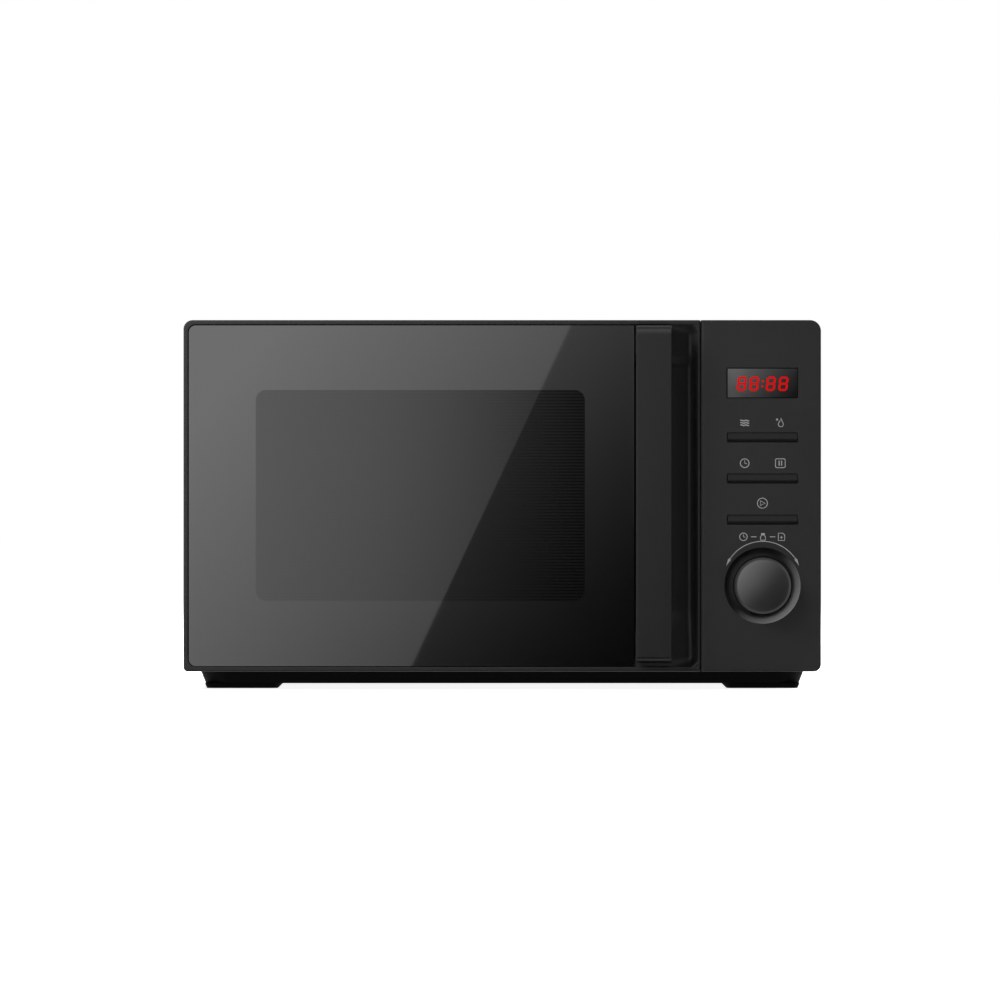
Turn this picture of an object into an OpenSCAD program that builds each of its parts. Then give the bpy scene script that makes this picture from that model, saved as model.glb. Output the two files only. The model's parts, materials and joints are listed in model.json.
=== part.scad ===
// Countertop microwave oven: side-hinged glass door with a bar handle, sprung latch hook, rotary control.
// Millimetres. +X is right, +Y is to the rear, +Z is up. The origin is on the resting plane, under the middle.

/* [Overall] */
// Width across the front
body_w = 440; // [430:1:530]
// Height of the front above its lower edge
body_h = 242.6; // [238:0.1:292]
// Depth from the handle's face to the wall spacers
overall_d = 350; // [340:1:420]
// Height of the front's lower edge above the resting plane
base_h = 12.9; // [10.5:0.1:13.2]
// Thickness of the cabinet, cavity, rear and base sheet
sheet_t = 0.8; // [0.6:0.1:1]
// Thickness of the front plate
plate_t = 1.2; // [1:0.1:1.5]
// How far the cabinet sits in from the front's outline
cabinet_inset = 1; // [0.6:0.1:1.2]
// How far the wall spacers stand off the rear panel
spacer_t = 7; // [5.8:0.1:8.4]

// How far the pan's well sits in from the front's sides
pan_inset = 8.4; // [7:0.1:14]
// Width of each foot
foot_w = 54.5; // [45:0.5:60]
// Depth of each foot
foot_l = 36; // [30:0.5:43]

/* [Front] */
// Width of the control panel
panel_w = 82.2; // [80:0.1:99]
// Gap between the door and the control panel
panel_gap = 1; // [0.8:0.1:1.2]
// Thickness of the door
door_t = 35; // [34:0.5:42]
// Gap between the closed door and the front plate
door_gap = 0.5; // [0.4:0.1:1]
// Wall of the door and panel mouldings
wall = 2.5; // [2:0.1:3]
// Radii of the front's corners: bottom left, bottom right, top right, top left
corner_r = [3, 5, 7.5, 6.2]; // [2:0.1:9]

/* [Door] */
// Width of the frame's band round the glass
frame_band = 3.4; // [2.8:0.1:4.1]
// Thickness of the front glass
glass_t = 3.2; // [2.7:0.1:3.8]
// Radius of the glass's left corners
glass_r = 5; // [4:0.5:6]
// Width of the handle and finger scoop beside the glass
grip_w = 45.5; // [44:0.5:55]
// Width of the handle
handle_w = 24.3; // [20:0.1:26]
// Thickness of the handle's bar
handle_t = 11; // [9:0.5:13]
// How far the handle stands proud of the door
handle_proud = 12; // [10:0.5:14.4]
// Depth of the scoop under the door's face
scoop_d = 7; // [5.8:0.1:8.4]
// Depth of the finger pocket under the door's face
pocket_d = 17; // [15:0.5:17]
// Height of the solid blocks that carry the handle's ends
handle_block = 22; // [18:1:27]
// Opening of the door: the hinge stop
door_open = 110; // [90:1:112]
// Distance of the hinge pins from the door's side
pin_inset = 8; // [7.5:0.1:8.5]
// Distance of the hinge pins in front of the front plate
pin_forward = 12; // [11.5:0.1:12.5]
// Diameter of the hinge pins
pin_d = 6; // [5:0.1:6.5]
// Height of the window in the door
window_h = 145.4; // [120:0.1:146]
// Width of the window in the door
window_w = 227.1; // [190:0.1:228]
// Distance of the window from the door's left side
window_left = 49.9; // [42:0.1:52]
// Distance of the window below the door's top
window_drop = 48.3; // [46:0.1:58]
// Rows of slots in the window's screen
screen_rows = 22; // [18:1:26]
// Columns of slots in the window's screen
screen_columns = 5; // [3:1:6]

/* [Latch] */
// Distance of the hook from the door's right side
hook_inset = 16.8; // [16:0.1:18]
// Thickness of the hook
hook_t = 4; // [3.4:0.1:4.8]
// Height of each hook arm
hook_arm = 7; // [6:0.1:8.4]
// How far each nose hangs below its arm
hook_nose = 3; // [2.5:0.1:3.6]
// Lift of the hook that frees the door
hook_lift = 4; // [3.4:0.1:4.8]
// Distance of the arms from the door's top and bottom
hook_end = 54.5; // [50:0.5:65]
// Reach of the arms behind the front plate
hook_reach = 14.3; // [13:0.1:15]
// Travel of the switch plungers
switch_travel = 1.2; // [1:0.1:1.4]

/* [Controls] */
// Width of the display and the keys
key_w = 48.5; // [44:0.1:58]
// Height of the display
display_h = 20.2; // [17:0.1:24]
// Distance of the display below the panel's top
display_drop = 33.4; // [30:0.1:40]
// Height of each key
key_h = 6; // [5:0.1:6.4]
// Height of each key's slot
key_slot_h = 7.4; // [7.2:0.1:8.8]
// Distance of the first key below the panel's top
key_drop = 77; // [72:0.1:80]
// Distance between the keys
key_pitch = 28.4; // [24:0.1:29]
// Rocking of the two upper keys each way, in degrees
key_rock = 2.5; // [1.5:0.1:2.6]
// Travel of the start key
key_travel = 1; // [0.8:0.1:1.2]
// Diameter of the knob
knob_d = 39; // [32.5:0.1:46.8]
// Diameter of the knob's face inside its chamfer
knob_face_d = 35.6; // [30:0.1:37]
// Diameter of the dish round the knob
dish_d = 52.4; // [48:0.1:58]
// Height of the knob's centre above the panel's lower edge
knob_up = 59.3; // [50:0.1:62]
// How far the middle of the controls lies right of the panel's middle
control_shift = 0.7; // [0:0.1:2]

/* [Cavity] */
// Distance of the cavity from the body's left side
cavity_left = 15; // [14:0.5:18]
// Width of the component bay, right of the cavity
bay_w = 123; // [120:1:130]
// Height of the cavity's floor above the front's lower edge
cavity_lift = 22; // [21:0.5:26]
// Distance of the cavity's ceiling below the body's top
cavity_drop = 20.6; // [19:0.1:24]
// Gap between the cavity and the rear panel
cavity_rear_gap = 3; // [2:0.5:8]
// Clearance between the turntable and the cavity's walls
turntable_gap = 17; // [14:0.5:20]
// Thickness of the glass turntable
turntable_t = 5; // [4:0.1:6]
// Radius of the rollers
roller_r = 7.2; // [6.5:0.1:8.6]
// Width of the rollers
roller_w = 8; // [7:0.1:9.6]
// Radius of the circle that the rollers run on
roller_track_r = 96; // [85:0.5:100]
// Size of the turntable motor: diameter and height
turntable_motor = [49, 16.5]; // [13:0.5:58]

/* [Component bay] */
// Transformer core: width, stack depth and height
transformer = [88, 50, 74]; // [40:1:100]
// Waveguide: width, depth and height
waveguide_size = [28, 90, 56]; // [24:1:100]
// Magnetron yoke: width, depth and height
yoke_size = [56, 88, 74]; // [50:1:90]
// Magnetron's filter box: width, depth and height
filter_box = [26, 60, 56]; // [22:1:70]
// Depth of the magnetron's centre line behind the origin
magnetron_y = 40; // [35:1:45]
// Distance of the magnetron's centre line below the body's top
magnetron_drop = 53.6; // [50:0.1:56]
// Diameter of the fan blade
fan_d = 92; // [80:1:96]
// Side of the fan's square shroud
shroud_side = 108; // [104:1:110]
// Height of the fan's centre above the front's lower edge
fan_up = 88; // [84:1:92]
// Capacitor can: width, length and height
capacitor = [52, 90, 33]; // [28:1:96]

/* [Hidden] */
$fn = 48;

// Clearances
run = 0.3;
bore_play = 0.05;
seat = 0.2;
over = 1;

// Main planes
half_w = body_w / 2;
z_low = base_h;
z_top = base_h + body_h;
door_y0 = -overall_d / 2 + handle_proud;
door_y1 = door_y0 + door_t;
plate_y0 = door_y1 + door_gap;
plate_y1 = plate_y0 + plate_t;
rear_y1 = overall_d / 2 - spacer_t;
rear_y0 = rear_y1 - sheet_t;
hem_t = sheet_t;
shell_x = half_w - cabinet_inset;
inner_x = shell_x - sheet_t;
outer_r = [0.01, 0.01, corner_r[2] - cabinet_inset, corner_r[3] - cabinet_inset];
inner_r = [0.01, 0.01, outer_r[2] - sheet_t, outer_r[3] - sheet_t];
inner_z1 = z_top - cabinet_inset - sheet_t;
floor_z = z_low + sheet_t;

// Base pan
pan_taper = 3.8;
pan_z = 3.45;
pan_r = 20;
pan_y0 = plate_y1 + 3;
pan_y1 = rear_y0 - 8;
pan_floor = pan_z + sheet_t;
foot_taper = 1.4;
foot_chamfer = 3.5;

// Door
door_x0 = -half_w;
door_x1 = half_w - panel_w - panel_gap;
glass_x0 = door_x0 + frame_band;
glass_x1 = door_x1 - grip_w;
glass_z0 = z_low + frame_band;
glass_z1 = z_top - frame_band;
glass_set = 0.4;
glass_y = door_y0 + glass_set;
face_t = 6;
ledge = 26;
ring_t = 3;
handle_x0 = glass_x1 + 1;
handle_x1 = handle_x0 + handle_w;
handle_z0 = z_low + 8;
handle_z1 = z_top - 4.2;
scoop_y = door_y0 + scoop_d;
pocket_y = door_y0 + pocket_d;
pocket_x0 = handle_x0 + 1;
pocket_x1 = door_x1 - wall - 5.5;
pocket_z0 = handle_z0 + handle_block + 1;
pocket_z1 = handle_z1 - handle_block - 0.4;
pin_x = door_x0 + pin_inset;
pin_y = plate_y0 - pin_forward;
boss_r = pin_d / 2 + 2.6;
pin_l = 10;
tab_t = 2;
tab_w = 8;
upper_tab_z = z_top - 9.6;
lower_tab_z = z_low + 7;
hinge_slot = 1;
window_x0 = door_x0 + window_left;
window_x1 = window_x0 + window_w;
window_z1 = z_top - window_drop;
window_z0 = window_z1 - window_h;
window_r = 7;
cover_t = 3;
cover_y = door_y1 - cover_t;
pane_t = 1.5;
screen_y = door_y0 + 13;
screen_t = 1;
screen_x0 = door_x0 + 17;
screen_x1 = glass_x1 - 1.3;
screen_z0 = z_low + 9;
screen_z1 = z_top - 9;
post_r = 4;
post_inset = 8;

// Latch
hook_x = door_x1 - hook_inset;
hook_y0 = pocket_y + wall + 1;
hook_y1 = cover_y - 3;
hook_tip = plate_y1 + hook_reach;
arm_low_z = z_low + hook_end - hook_arm / 2;
arm_high_z = z_top - hook_end - hook_arm / 2;
spine_z0 = arm_low_z - 6;
spine_z1 = arm_high_z + hook_arm + 9;
slot_w = 10;
spring_gap = 20;
spring_r = 3;
spring_wire = 0.9;
spring_turns = 6;
stop_z = spine_z1 + spring_gap;
guide_t = 1.3;
board_x = hook_x + 11;
board_depth = 36;
switch_size = [10, 16, 28];
switch_y = hook_tip + run + switch_travel + 2.2;
plunger_s = 3;
plunger_low = [arm_low_z + 1.3, arm_low_z + hook_arm - 1.3];
plunger_high = arm_high_z + hook_arm / 2;

// Cavity
cav_x0 = -half_w + cavity_left;
cav_x1 = half_w - bay_w;
cav_z0 = z_low + cavity_lift;
cav_z1 = z_top - cavity_drop;
cav_y1 = rear_y0 - cavity_rear_gap - sheet_t;
cav_w = cav_x1 - cav_x0;
cav_d = cav_y1 - plate_y1;
tt_x = (cav_x0 + cav_x1) / 2;
tt_y = (plate_y1 + cav_y1) / 2;
tt_r = min(cav_w, cav_d) / 2 - turntable_gap;
roller_z = cav_z0 + run + roller_r;
glass_z = roller_z + roller_r + run;
coupler_hole_r = 7;
coupler_r = 4.5;
coupler_arm = 22;
axle_r = 2;
ring_z = roller_z - 3;
ring_h = 6;
ring_r = roller_track_r - roller_w / 2 - 6;
motor_z = cav_z0 - sheet_t - turntable_motor.y;

// Component bay
bay_x0 = cav_x1 + sheet_t;
bay_mid = (bay_x0 + inner_x) / 2;
transformer_x = bay_mid;
transformer_y = -42;
leg_w = 30;
window_leg = 14;
yoke_t = 11;
coil_gap = 0.5;
magnetron_z = z_top - magnetron_drop;
guide_y0 = magnetron_y - waveguide_size.y / 2;
guide_x1 = bay_x0 + waveguide_size.x;
yoke_x1 = guide_x1 + yoke_size.x;
port = [60, 36];
fan_x = bay_x0 + shroud_side / 2 + 1;
fan_z = z_low + fan_up;
fan_r = fan_d / 2;
shroud_y0 = rear_y0 - 34;
fan_shaft_r = 1.6;
spider_t = 4;
blade_count = 5;
capacitor_y = 96;
capacitor_x = bay_mid - 8;

// Controls
panel_x0 = half_w - panel_w;
control_x = (panel_x0 + half_w) / 2 + control_shift;
panel_face_y = door_y0 + wall;
display_z1 = z_top - display_drop;
display_z0 = display_z1 - display_h;
display_r = 0.6;
lens_t = 1.5;
key_y1 = door_y0 + 7;
pivot_r = 2;
pivot_proud = 1.2;
key_sink = 1;
key_lip = 1.3;
key_z1 = [for (i = [0:2]) z_top - key_drop - i * key_pitch];
key_play = 0.35;
pcb_t = 1.6;
pcb_y = door_y0 + 17;
stem_r = 1.8;
stem_x = 18;
tact = [6, 3.5, 6];
tact_y = pcb_y - tact.y;
tact_play = 0.4;
knob_z = z_low + knob_up;
dish_depth = 3.5;
well_y = door_y0 + dish_depth + 1;
well_back = well_y + 2;
knob_y1 = well_y - 0.6;
knob_y0 = door_y0 - 8.5;
knob_dome = 2.5;
shaft_r = 3;
encoder = [13, 6, 13];

// ---- shape helpers ----

// Box between two opposite corners
module block(a, b) translate(a) cube(b - a);

// A drawing in X and Z made solid between two depths
module slab(y0, y1) translate([0, y1, 0]) rotate([90, 0, 0]) linear_extrude(y1 - y0) children();

function arc(c, r, from, n = 8) = [for (i = [0:n]) c + r * [cos(from + 90 * i / n), sin(from + 90 * i / n)]];

function rounded_points(a, b, r) = concat(
    arc([a.x + r[0], a.y + r[0]], r[0], 180),
    arc([b.x - r[1], a.y + r[1]], r[1], 270),
    arc([b.x - r[2], b.y - r[2]], r[2], 0),
    arc([a.x + r[3], b.y - r[3]], r[3], 90)
);

// Rectangle between two corners with its own radius at each: bottom left, bottom right, top right, top left
module rounded(a, b, r) polygon(rounded_points(a, b, r));

module even_rounded(a, b, r) rounded(a, b, [r, r, r, r]);

module rod_x(x0, x1, r, y, z) translate([x0, y, z]) rotate([0, 90, 0]) cylinder(r = r, h = x1 - x0);

module rod_y(y0, y1, r, x, z) translate([x, y1, z]) rotate([90, 0, 0]) cylinder(r = r, h = y1 - y0);

module rod_z(z0, z1, r, x, y) translate([x, y, z0]) cylinder(r = r, h = z1 - z0);

module mirrored_x() {
    children();
    mirror([1, 0, 0]) children();
}

// ---- case ----

cabinet_slot = [22, 2.6];
hem_w = 12;
screw_x = shell_x - hem_w / 2;
screw_z = [for (f = [0.16, 0.5, 0.84]) z_low + f * body_h];
top_screw_x = half_w * 0.45;
screw_r = 1.9;
screw_hole_r = 2.1;
head_r = 4;
head_t = 2.2;

module screw_places() {
    for (s = [-1, 1], z = screw_z) translate([s * screw_x, 0, z]) children();
    for (s = [-1, 1]) translate([s * top_screw_x, 0, z_top - cabinet_inset - hem_w / 2]) children();
}

module outer_cabinet() color([0.11, 0.11, 0.115]) {
    difference() {
        union() {
            slab(plate_y0, rear_y1) difference() {
                rounded([-shell_x, floor_z], [shell_x, inner_z1 + sheet_t], outer_r);
                rounded([-inner_x, floor_z - 2 * over], [inner_x, inner_z1], inner_r);
            }
            slab(rear_y1, rear_y1 + hem_t) difference() {
                rounded([-shell_x, floor_z], [shell_x, inner_z1 + sheet_t], outer_r);
                block2([-shell_x + hem_w, floor_z - over], [shell_x - hem_w, inner_z1 + sheet_t - hem_w]);
            }
        }
        screw_places() rod_y(rear_y1 - over, rear_y1 + hem_t + over, screw_hole_r, 0, 0);
        // air slots on the right side, low at the front, and on the left side, high at the rear
        for (i = [0:11]) vent_slot(inner_x - over, -96 + i * 9, z_low + 30);
        for (i = [0:9]) vent_slot(-shell_x - over, 40 + i * 9, z_top - 60);
    }
}

module block2(a, b) translate(a) square(b - a);

module vent_slot(x, y, z) translate([x, y, z]) cube([sheet_t + 2 * over, cabinet_slot.y, cabinet_slot.x]);

module pan_outline(shrink) even_rounded([-half_w + pan_inset + shrink, pan_y0 + shrink],
    [half_w - pan_inset - shrink, pan_y1 - shrink], pan_r - shrink);

// Pressed pan: a flat rim that carries the case, and a tapered well that holds the heavy parts
module base_pan() color([0.02, 0.02, 0.022]) difference() {
    union() {
        hull() {
            translate([0, 0, pan_z]) linear_extrude(0.01) pan_outline(pan_taper);
            translate([0, 0, z_low]) linear_extrude(0.01) pan_outline(0);
        }
        block([-inner_x, plate_y0, z_low], [inner_x, rear_y1, floor_z]);
        mirrored_x() block([inner_x - sheet_t, plate_y1, floor_z], [inner_x, rear_y0 - over, floor_z + 12]);
    }
    translate([0, 0, pan_floor]) linear_extrude(floor_z + over - pan_floor) pan_outline(pan_taper + sheet_t);
    // cooling slots under the transformer
    for (i = [0:7]) translate([transformer_x - 34 + i * 9, transformer_y - 15, pan_z - over])
        cube([3, 30, sheet_t + 2 * over]);
}

// Pads at the corners of the pan, chamfered towards the middle
module foot_pair(y0) mirrored_x() {
    out = half_w - pan_inset - pan_taper;
    slope = foot_taper;
    hull() {
        translate([0, 0, pan_z - 0.01]) linear_extrude(0.01)
            even_rounded([out - foot_w, y0], [out, y0 + foot_l], 6);
        linear_extrude(0.01)
            even_rounded([out - foot_w + foot_chamfer, y0 + slope], [out - slope, y0 + foot_l - slope], 5);
    }
}

module front_feet() color([0.03, 0.03, 0.03]) foot_pair(pan_y0 + pan_taper);

module rear_feet() color([0.03, 0.03, 0.03]) foot_pair(pan_y1 - pan_taper - foot_l);

gland_x = inner_x - 24;
gland_z = floor_z + 18;
gland_r = 7;

module rear_panel() color([0.62, 0.63, 0.64]) difference() {
    slab(rear_y0, rear_y1)
        rounded([-inner_x, floor_z], [inner_x, inner_z1], inner_r);
    screw_places() rod_y(rear_y0 - over, rear_y1 + over, screw_hole_r, 0, 0);
    // fan intake: rows of slots inside the fan's circle
    for (i = [-4:4]) {
        dz = i * 9;
        reach = sqrt(pow(fan_r - 2, 2) - dz * dz);
        for (s = [-1, 1]) slot_y(fan_x + s * (reach / 2 + 1.5), fan_z + dz, reach - 3);
    }
    // exhaust slots behind the cavity
    for (i = [0:5], s = [0:2]) slot_y(tt_x - 60 + s * 46, z_top - 52 + i * 6.5 - 16, 38);
    rod_y(rear_y0 - over, rear_y1 + over, gland_r, gland_x, gland_z);
}

module slot_y(x, z, w) translate([x - w / 2, rear_y0 - over, z - 1.6]) cube([w, sheet_t + 2 * over, 3.2]);

module wall_spacers() color([0.05, 0.05, 0.05]) for (s = [-1, 1])
    translate([s * half_w * 0.62, rear_y1, z_top - 50]) rotate([-90, 0, 0]) rotate_extrude()
        polygon([[0, 0], [9, 0], [9, spacer_t - 2.5], [7.5, spacer_t - 0.6], [5.5, spacer_t], [0, spacer_t]]);

module case_screws() color([0.55, 0.55, 0.56]) screw_places() {
    rod_y(rear_y0 - 6, rear_y1 + hem_t + 0.5, screw_r, 0, 0);
    rod_y(rear_y1 + hem_t, rear_y1 + hem_t + head_t, head_r, 0, 0);
}

module cord_gland() color([0.04, 0.04, 0.04]) difference() {
    union() {
        rod_y(rear_y0 - 5, rear_y1 + 0.5, gland_r - seat, gland_x, gland_z);
        rod_y(rear_y1, rear_y1 + 3, gland_r + 2, gland_x, gland_z);
        rod_y(rear_y0 - 5, rear_y0 - 2, gland_r + 1.5, gland_x, gland_z);
    }
    rod_y(rear_y0 - 6, rear_y1 + 4, 3.6, gland_x, gland_z);
}

// ---- cavity and front plate ----

lamp_y = -58;
lamp_z = z_top - 40;
seam_r = 6;

module cavity_liner() color([0.72, 0.72, 0.7]) difference() {
    block([cav_x0 - sheet_t, plate_y1, cav_z0 - sheet_t],
        [cav_x1 + sheet_t, cav_y1 + sheet_t, cav_z1 + sheet_t]);
    block([cav_x0, plate_y1 - over, cav_z0], [cav_x1, cav_y1, cav_z1]);
    rod_z(cav_z0 - sheet_t - over, cav_z0 + over, coupler_hole_r, tt_x, tt_y);
    translate([cav_x1 - over, magnetron_y - port.x / 2, magnetron_z - port.y / 2])
        cube([sheet_t + 2 * over, port.x, port.y]);
    for (i = [-2:2], j = [-1:1])
        rod_x(cav_x1 - over, cav_x1 + sheet_t + over, 1.5, lamp_y + i * 5, lamp_z + j * 5);
    // steam outlet in the left wall
    for (i = [-4:4], j = [0:1])
        rod_x(cav_x0 - sheet_t - over, cav_x0 + over, 2, tt_y + 60 + i * 7, cav_z1 - 25 - j * 8);
}

module front_plate() color([0.08, 0.08, 0.085]) difference() {
    slab(plate_y0, plate_y1)
        rounded([-inner_x, floor_z], [inner_x, inner_z1], inner_r);
    slab(plate_y0 - over, plate_y1 + over) {
        even_rounded([cav_x0, cav_z0], [cav_x1, cav_z1], seam_r);
        block2([panel_x0 + 14, z_low + 22], [half_w - 14, z_top - 22]);
        latch_slot(arm_low_z);
        latch_slot(arm_high_z);
        hinge_cut(upper_tab_z);
        hinge_cut(lower_tab_z);
        for (x = panel_boss_x, z = panel_boss_z) translate([x, z]) circle(r = screw_hole_r);
    }
}

// Opening that one hook arm passes, with room for its nose below and its lift above
module latch_slot(arm_z)
    block2([hook_x - slot_w / 2, arm_z - hook_nose - 0.8],
        [hook_x + slot_w / 2, arm_z + hook_arm + hook_lift + 0.8]);

module hinge_cut(tab_z)
    block2([pin_x - tab_w / 2 - seat, tab_z - seat], [pin_x + tab_w / 2 + seat, tab_z + tab_t + seat]);

module waveguide() color([0.7, 0.7, 0.68]) difference() {
    block([bay_x0, guide_y0, magnetron_z - waveguide_size.z / 2],
        [guide_x1, guide_y0 + waveguide_size.y, magnetron_z + waveguide_size.z / 2]);
    block([bay_x0 - over, guide_y0 + sheet_t, magnetron_z - waveguide_size.z / 2 + sheet_t],
        [guide_x1 - sheet_t, guide_y0 + waveguide_size.y - sheet_t, magnetron_z + waveguide_size.z / 2 - sheet_t]);
    rod_x(guide_x1 - sheet_t - over, guide_x1 + over, 11, magnetron_y, magnetron_z);
}

module waveguide_cover() color([0.75, 0.68, 0.55])
    block([cav_x1 - 0.6, magnetron_y - port.x / 2 - 8, magnetron_z - port.y / 2 - 7],
        [cav_x1, magnetron_y + port.x / 2 + 8, magnetron_z + port.y / 2 + 7]);

module lamp_holder() color([0.6, 0.6, 0.6]) difference() {
    block([bay_x0, lamp_y - 18, lamp_z - 16], [bay_x0 + 4, lamp_y + 18, lamp_z + 16]);
    rod_x(bay_x0 - over, bay_x0 + 5, 11.4, lamp_y, lamp_z);
}

module oven_lamp() color([0.95, 0.93, 0.85]) {
    rod_x(bay_x0 + 0.5, bay_x0 + 26, 11.1, lamp_y, lamp_z);
    rod_x(bay_x0 + 26, bay_x0 + 38, 7, lamp_y, lamp_z);
}

// ---- hinges ----

module hinge(tab_z, pin_dir, flange_z0, flange_z1) difference() {
    union() {
        block([pin_x - tab_w / 2, pin_y, tab_z], [pin_x + tab_w / 2, plate_y1 + 1.5, tab_z + tab_t]);
        rod_z(tab_z, tab_z + tab_t, tab_w / 2, pin_x, pin_y);
        block([pin_x - tab_w / 2, plate_y1, flange_z0], [pin_x + 30, plate_y1 + 1.5, flange_z1]);
        rod_z(min(tab_z, tab_z + pin_dir * pin_l), max(tab_z + tab_t, tab_z + tab_t + pin_dir * pin_l),
            pin_d / 2, pin_x, pin_y);
    }
    for (dx = [12, 24]) rod_y(plate_y1 - over, plate_y1 + 3, 1.6, pin_x + dx, (flange_z0 + flange_z1) / 2);
}

module upper_hinge() color([0.7, 0.7, 0.72]) hinge(upper_tab_z, -1, cav_z1 + sheet_t + 2, inner_z1 - 1);

module lower_hinge() color([0.7, 0.7, 0.72]) hinge(lower_tab_z, 1, floor_z + 1, cav_z0 - sheet_t - 2);

// ---- door ----

module door_outline() rounded([door_x0, z_low], [door_x1, z_top], [corner_r[0], 0.8, 0.8, corner_r[3]]);

module door_outline_in(d)
    rounded([door_x0 + d, z_low + d], [door_x1 - d, z_top - d],
        [max(0.3, corner_r[0] - d), 0.3, 0.3, max(0.3, corner_r[3] - d)]);

module glass_outline(grow)
    rounded([glass_x0 - grow, glass_z0 - grow], [glass_x1 + grow, glass_z1 + grow],
        [glass_r + grow, 0.6, 0.6, glass_r + grow]);

module screen_posts() for (x = [screen_x0 + post_inset, (screen_x0 + screen_x1) / 2, screen_x1 - post_inset],
    z = [screen_z0 + post_inset, screen_z1 - post_inset]) translate([x, 0, z]) children();

// The door swings round its pins, so its rear edge beside them is rounded to clear the front plate
module swing_clear() difference() {
    block([door_x0 - over, door_y1 - pin_inset, z_low - over], [pin_x, door_y1 + over, z_top + over]);
    rod_z(z_low - over, z_top + over, pin_inset, pin_x, door_y1 - pin_inset);
}

module hinge_notch(tab_z)
    block([door_x0 - over, pin_y - tab_w / 2 - 3.8, tab_z - hinge_slot],
        [pin_x + tab_w / 2 + hinge_slot, door_y1 + over, tab_z + tab_t + hinge_slot]);

module hinge_boss(z0, z1) {
    rod_z(z0, z1, boss_r, pin_x, pin_y);
    block([door_x0 + 1, pin_y - 2, z0], [pin_x - pin_d / 2 - 1, pin_y + 2, z1]);
}

module door_frame() color([0.13, 0.13, 0.135]) difference() {
    union() {
        slab(door_y0, door_y1) difference() {
            door_outline();
            door_outline_in(ring_t);
        }
        slab(door_y0, door_y0 + face_t) door_outline();
        // floor and walls of the scoop and of the finger pocket
        block([glass_x1 - 1, door_y0 + 1, z_low + 1], [door_x1 - 0.5, scoop_y + wall, z_top - 1]);
        block([pocket_x0 - 2, door_y0 + 1, pocket_z0 - 2], [pocket_x1 + 2, pocket_y + wall, pocket_z1 + 2]);
        screen_posts() rod_y(door_y0 + face_t - 1, screen_y, post_r, 0, 0);
        hinge_boss(upper_tab_z - run - pin_l - 2, upper_tab_z - run);
        hinge_boss(lower_tab_z + tab_t + run, lower_tab_z + tab_t + run + pin_l + 2);
    }
    slab(door_y0 - over, glass_y + glass_t) glass_outline(seat);
    slab(door_y0 - over, door_y0 + face_t + over)
        even_rounded([glass_x0 + ledge, glass_z0 + ledge], [glass_x1 - ledge, glass_z1 - ledge], 8);
    // scoop, with a strip left under the handle
    slab(door_y0 - over, scoop_y) {
        block2([handle_x0 - seat, z_low + frame_band + 3.2], [handle_x1 + 1, glass_z1]);
        block2([handle_x1, z_low + frame_band], [door_x1 - 1.6, glass_z1]);
    }
    slab(door_y0 - over, pocket_y) block2([pocket_x0, pocket_z0], [pocket_x1, pocket_z1]);
    swing_clear();
    hinge_notch(upper_tab_z);
    hinge_notch(lower_tab_z);
    rod_z(lower_tab_z, lower_tab_z + tab_t + pin_l + 1, pin_d / 2 + bore_play, pin_x, pin_y);
    rod_z(upper_tab_z - pin_l - 1, upper_tab_z, pin_d / 2 + bore_play, pin_x, pin_y);
    for (z = handle_screw_z) rod_y(scoop_y - over, scoop_y + wall + over, screw_hole_r, handle_mid, z);
}

module door_glass() color([0.05, 0.05, 0.06]) slab(glass_y, glass_y + glass_t) glass_outline(0);

// Steel screen: a perforated plate and the folded wall that chokes the microwaves
module door_screen() color([0.05, 0.05, 0.05]) {
    pitch_z = (window_h - 6) / screen_rows;
    pitch_x = (window_w - 6) / screen_columns;
    difference() {
        block([screen_x0, screen_y, screen_z0], [screen_x1, cover_y - 2, screen_z1]);
        block([screen_x0 + screen_t, screen_y + screen_t, screen_z0 + screen_t],
            [screen_x1 - screen_t, cover_y, screen_z1 - screen_t]);
        for (i = [0:screen_columns - 1], j = [0:screen_rows - 1])
            translate([window_x0 + 3 + (i + 0.06) * pitch_x, screen_y - over, window_z0 + 3 + (j + 0.25) * pitch_z])
                cube([pitch_x * 0.88, screen_t + 2 * over, pitch_z * 0.5]);
    }
}

module inner_window() color([0.25, 0.25, 0.27, 0.5]) slab(cover_y - pane_t, cover_y)
    even_rounded([window_x0 - 12, window_z0 - 12], [window_x1 + 12, window_z1 + 12], 6);

module door_inner_cover() color([0.09, 0.09, 0.095]) difference() {
    union() {
        slab(cover_y, door_y1) door_outline_in(ring_t + seat);
        hook_guides();
        block([hook_x - 4, hook_y0, stop_z], [hook_x + 4, cover_y + 1, stop_z + 2]);
    }
    slab(cover_y - over, door_y1 + over) {
        even_rounded([window_x0 - 6, window_z0 - 6], [window_x1 + 6, window_z1 + 6], window_r);
        latch_slot(arm_low_z);
        latch_slot(arm_high_z);
    }
    swing_clear();
    for (z = [z_low - over, upper_tab_z - pin_l - 4])
        block([door_x0, cover_y - over, z], [screen_x0 - 3, door_y1 + over, z + 24]);
}

module hook_guides() for (s = [-1, 1], z = [spine_z0 + 32, spine_z1 - 52])
    translate([hook_x + s * (hook_t / 2 + run + guide_t / 2) - guide_t / 2, hook_y0, z])
        cube([guide_t, cover_y + 1 - hook_y0, 20]);

handle_mid = handle_x0 + handle_w / 2;
handle_screw_z = [handle_z0 + handle_block / 2, handle_z1 - handle_block / 2];
handle_edge = 1.5;

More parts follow.
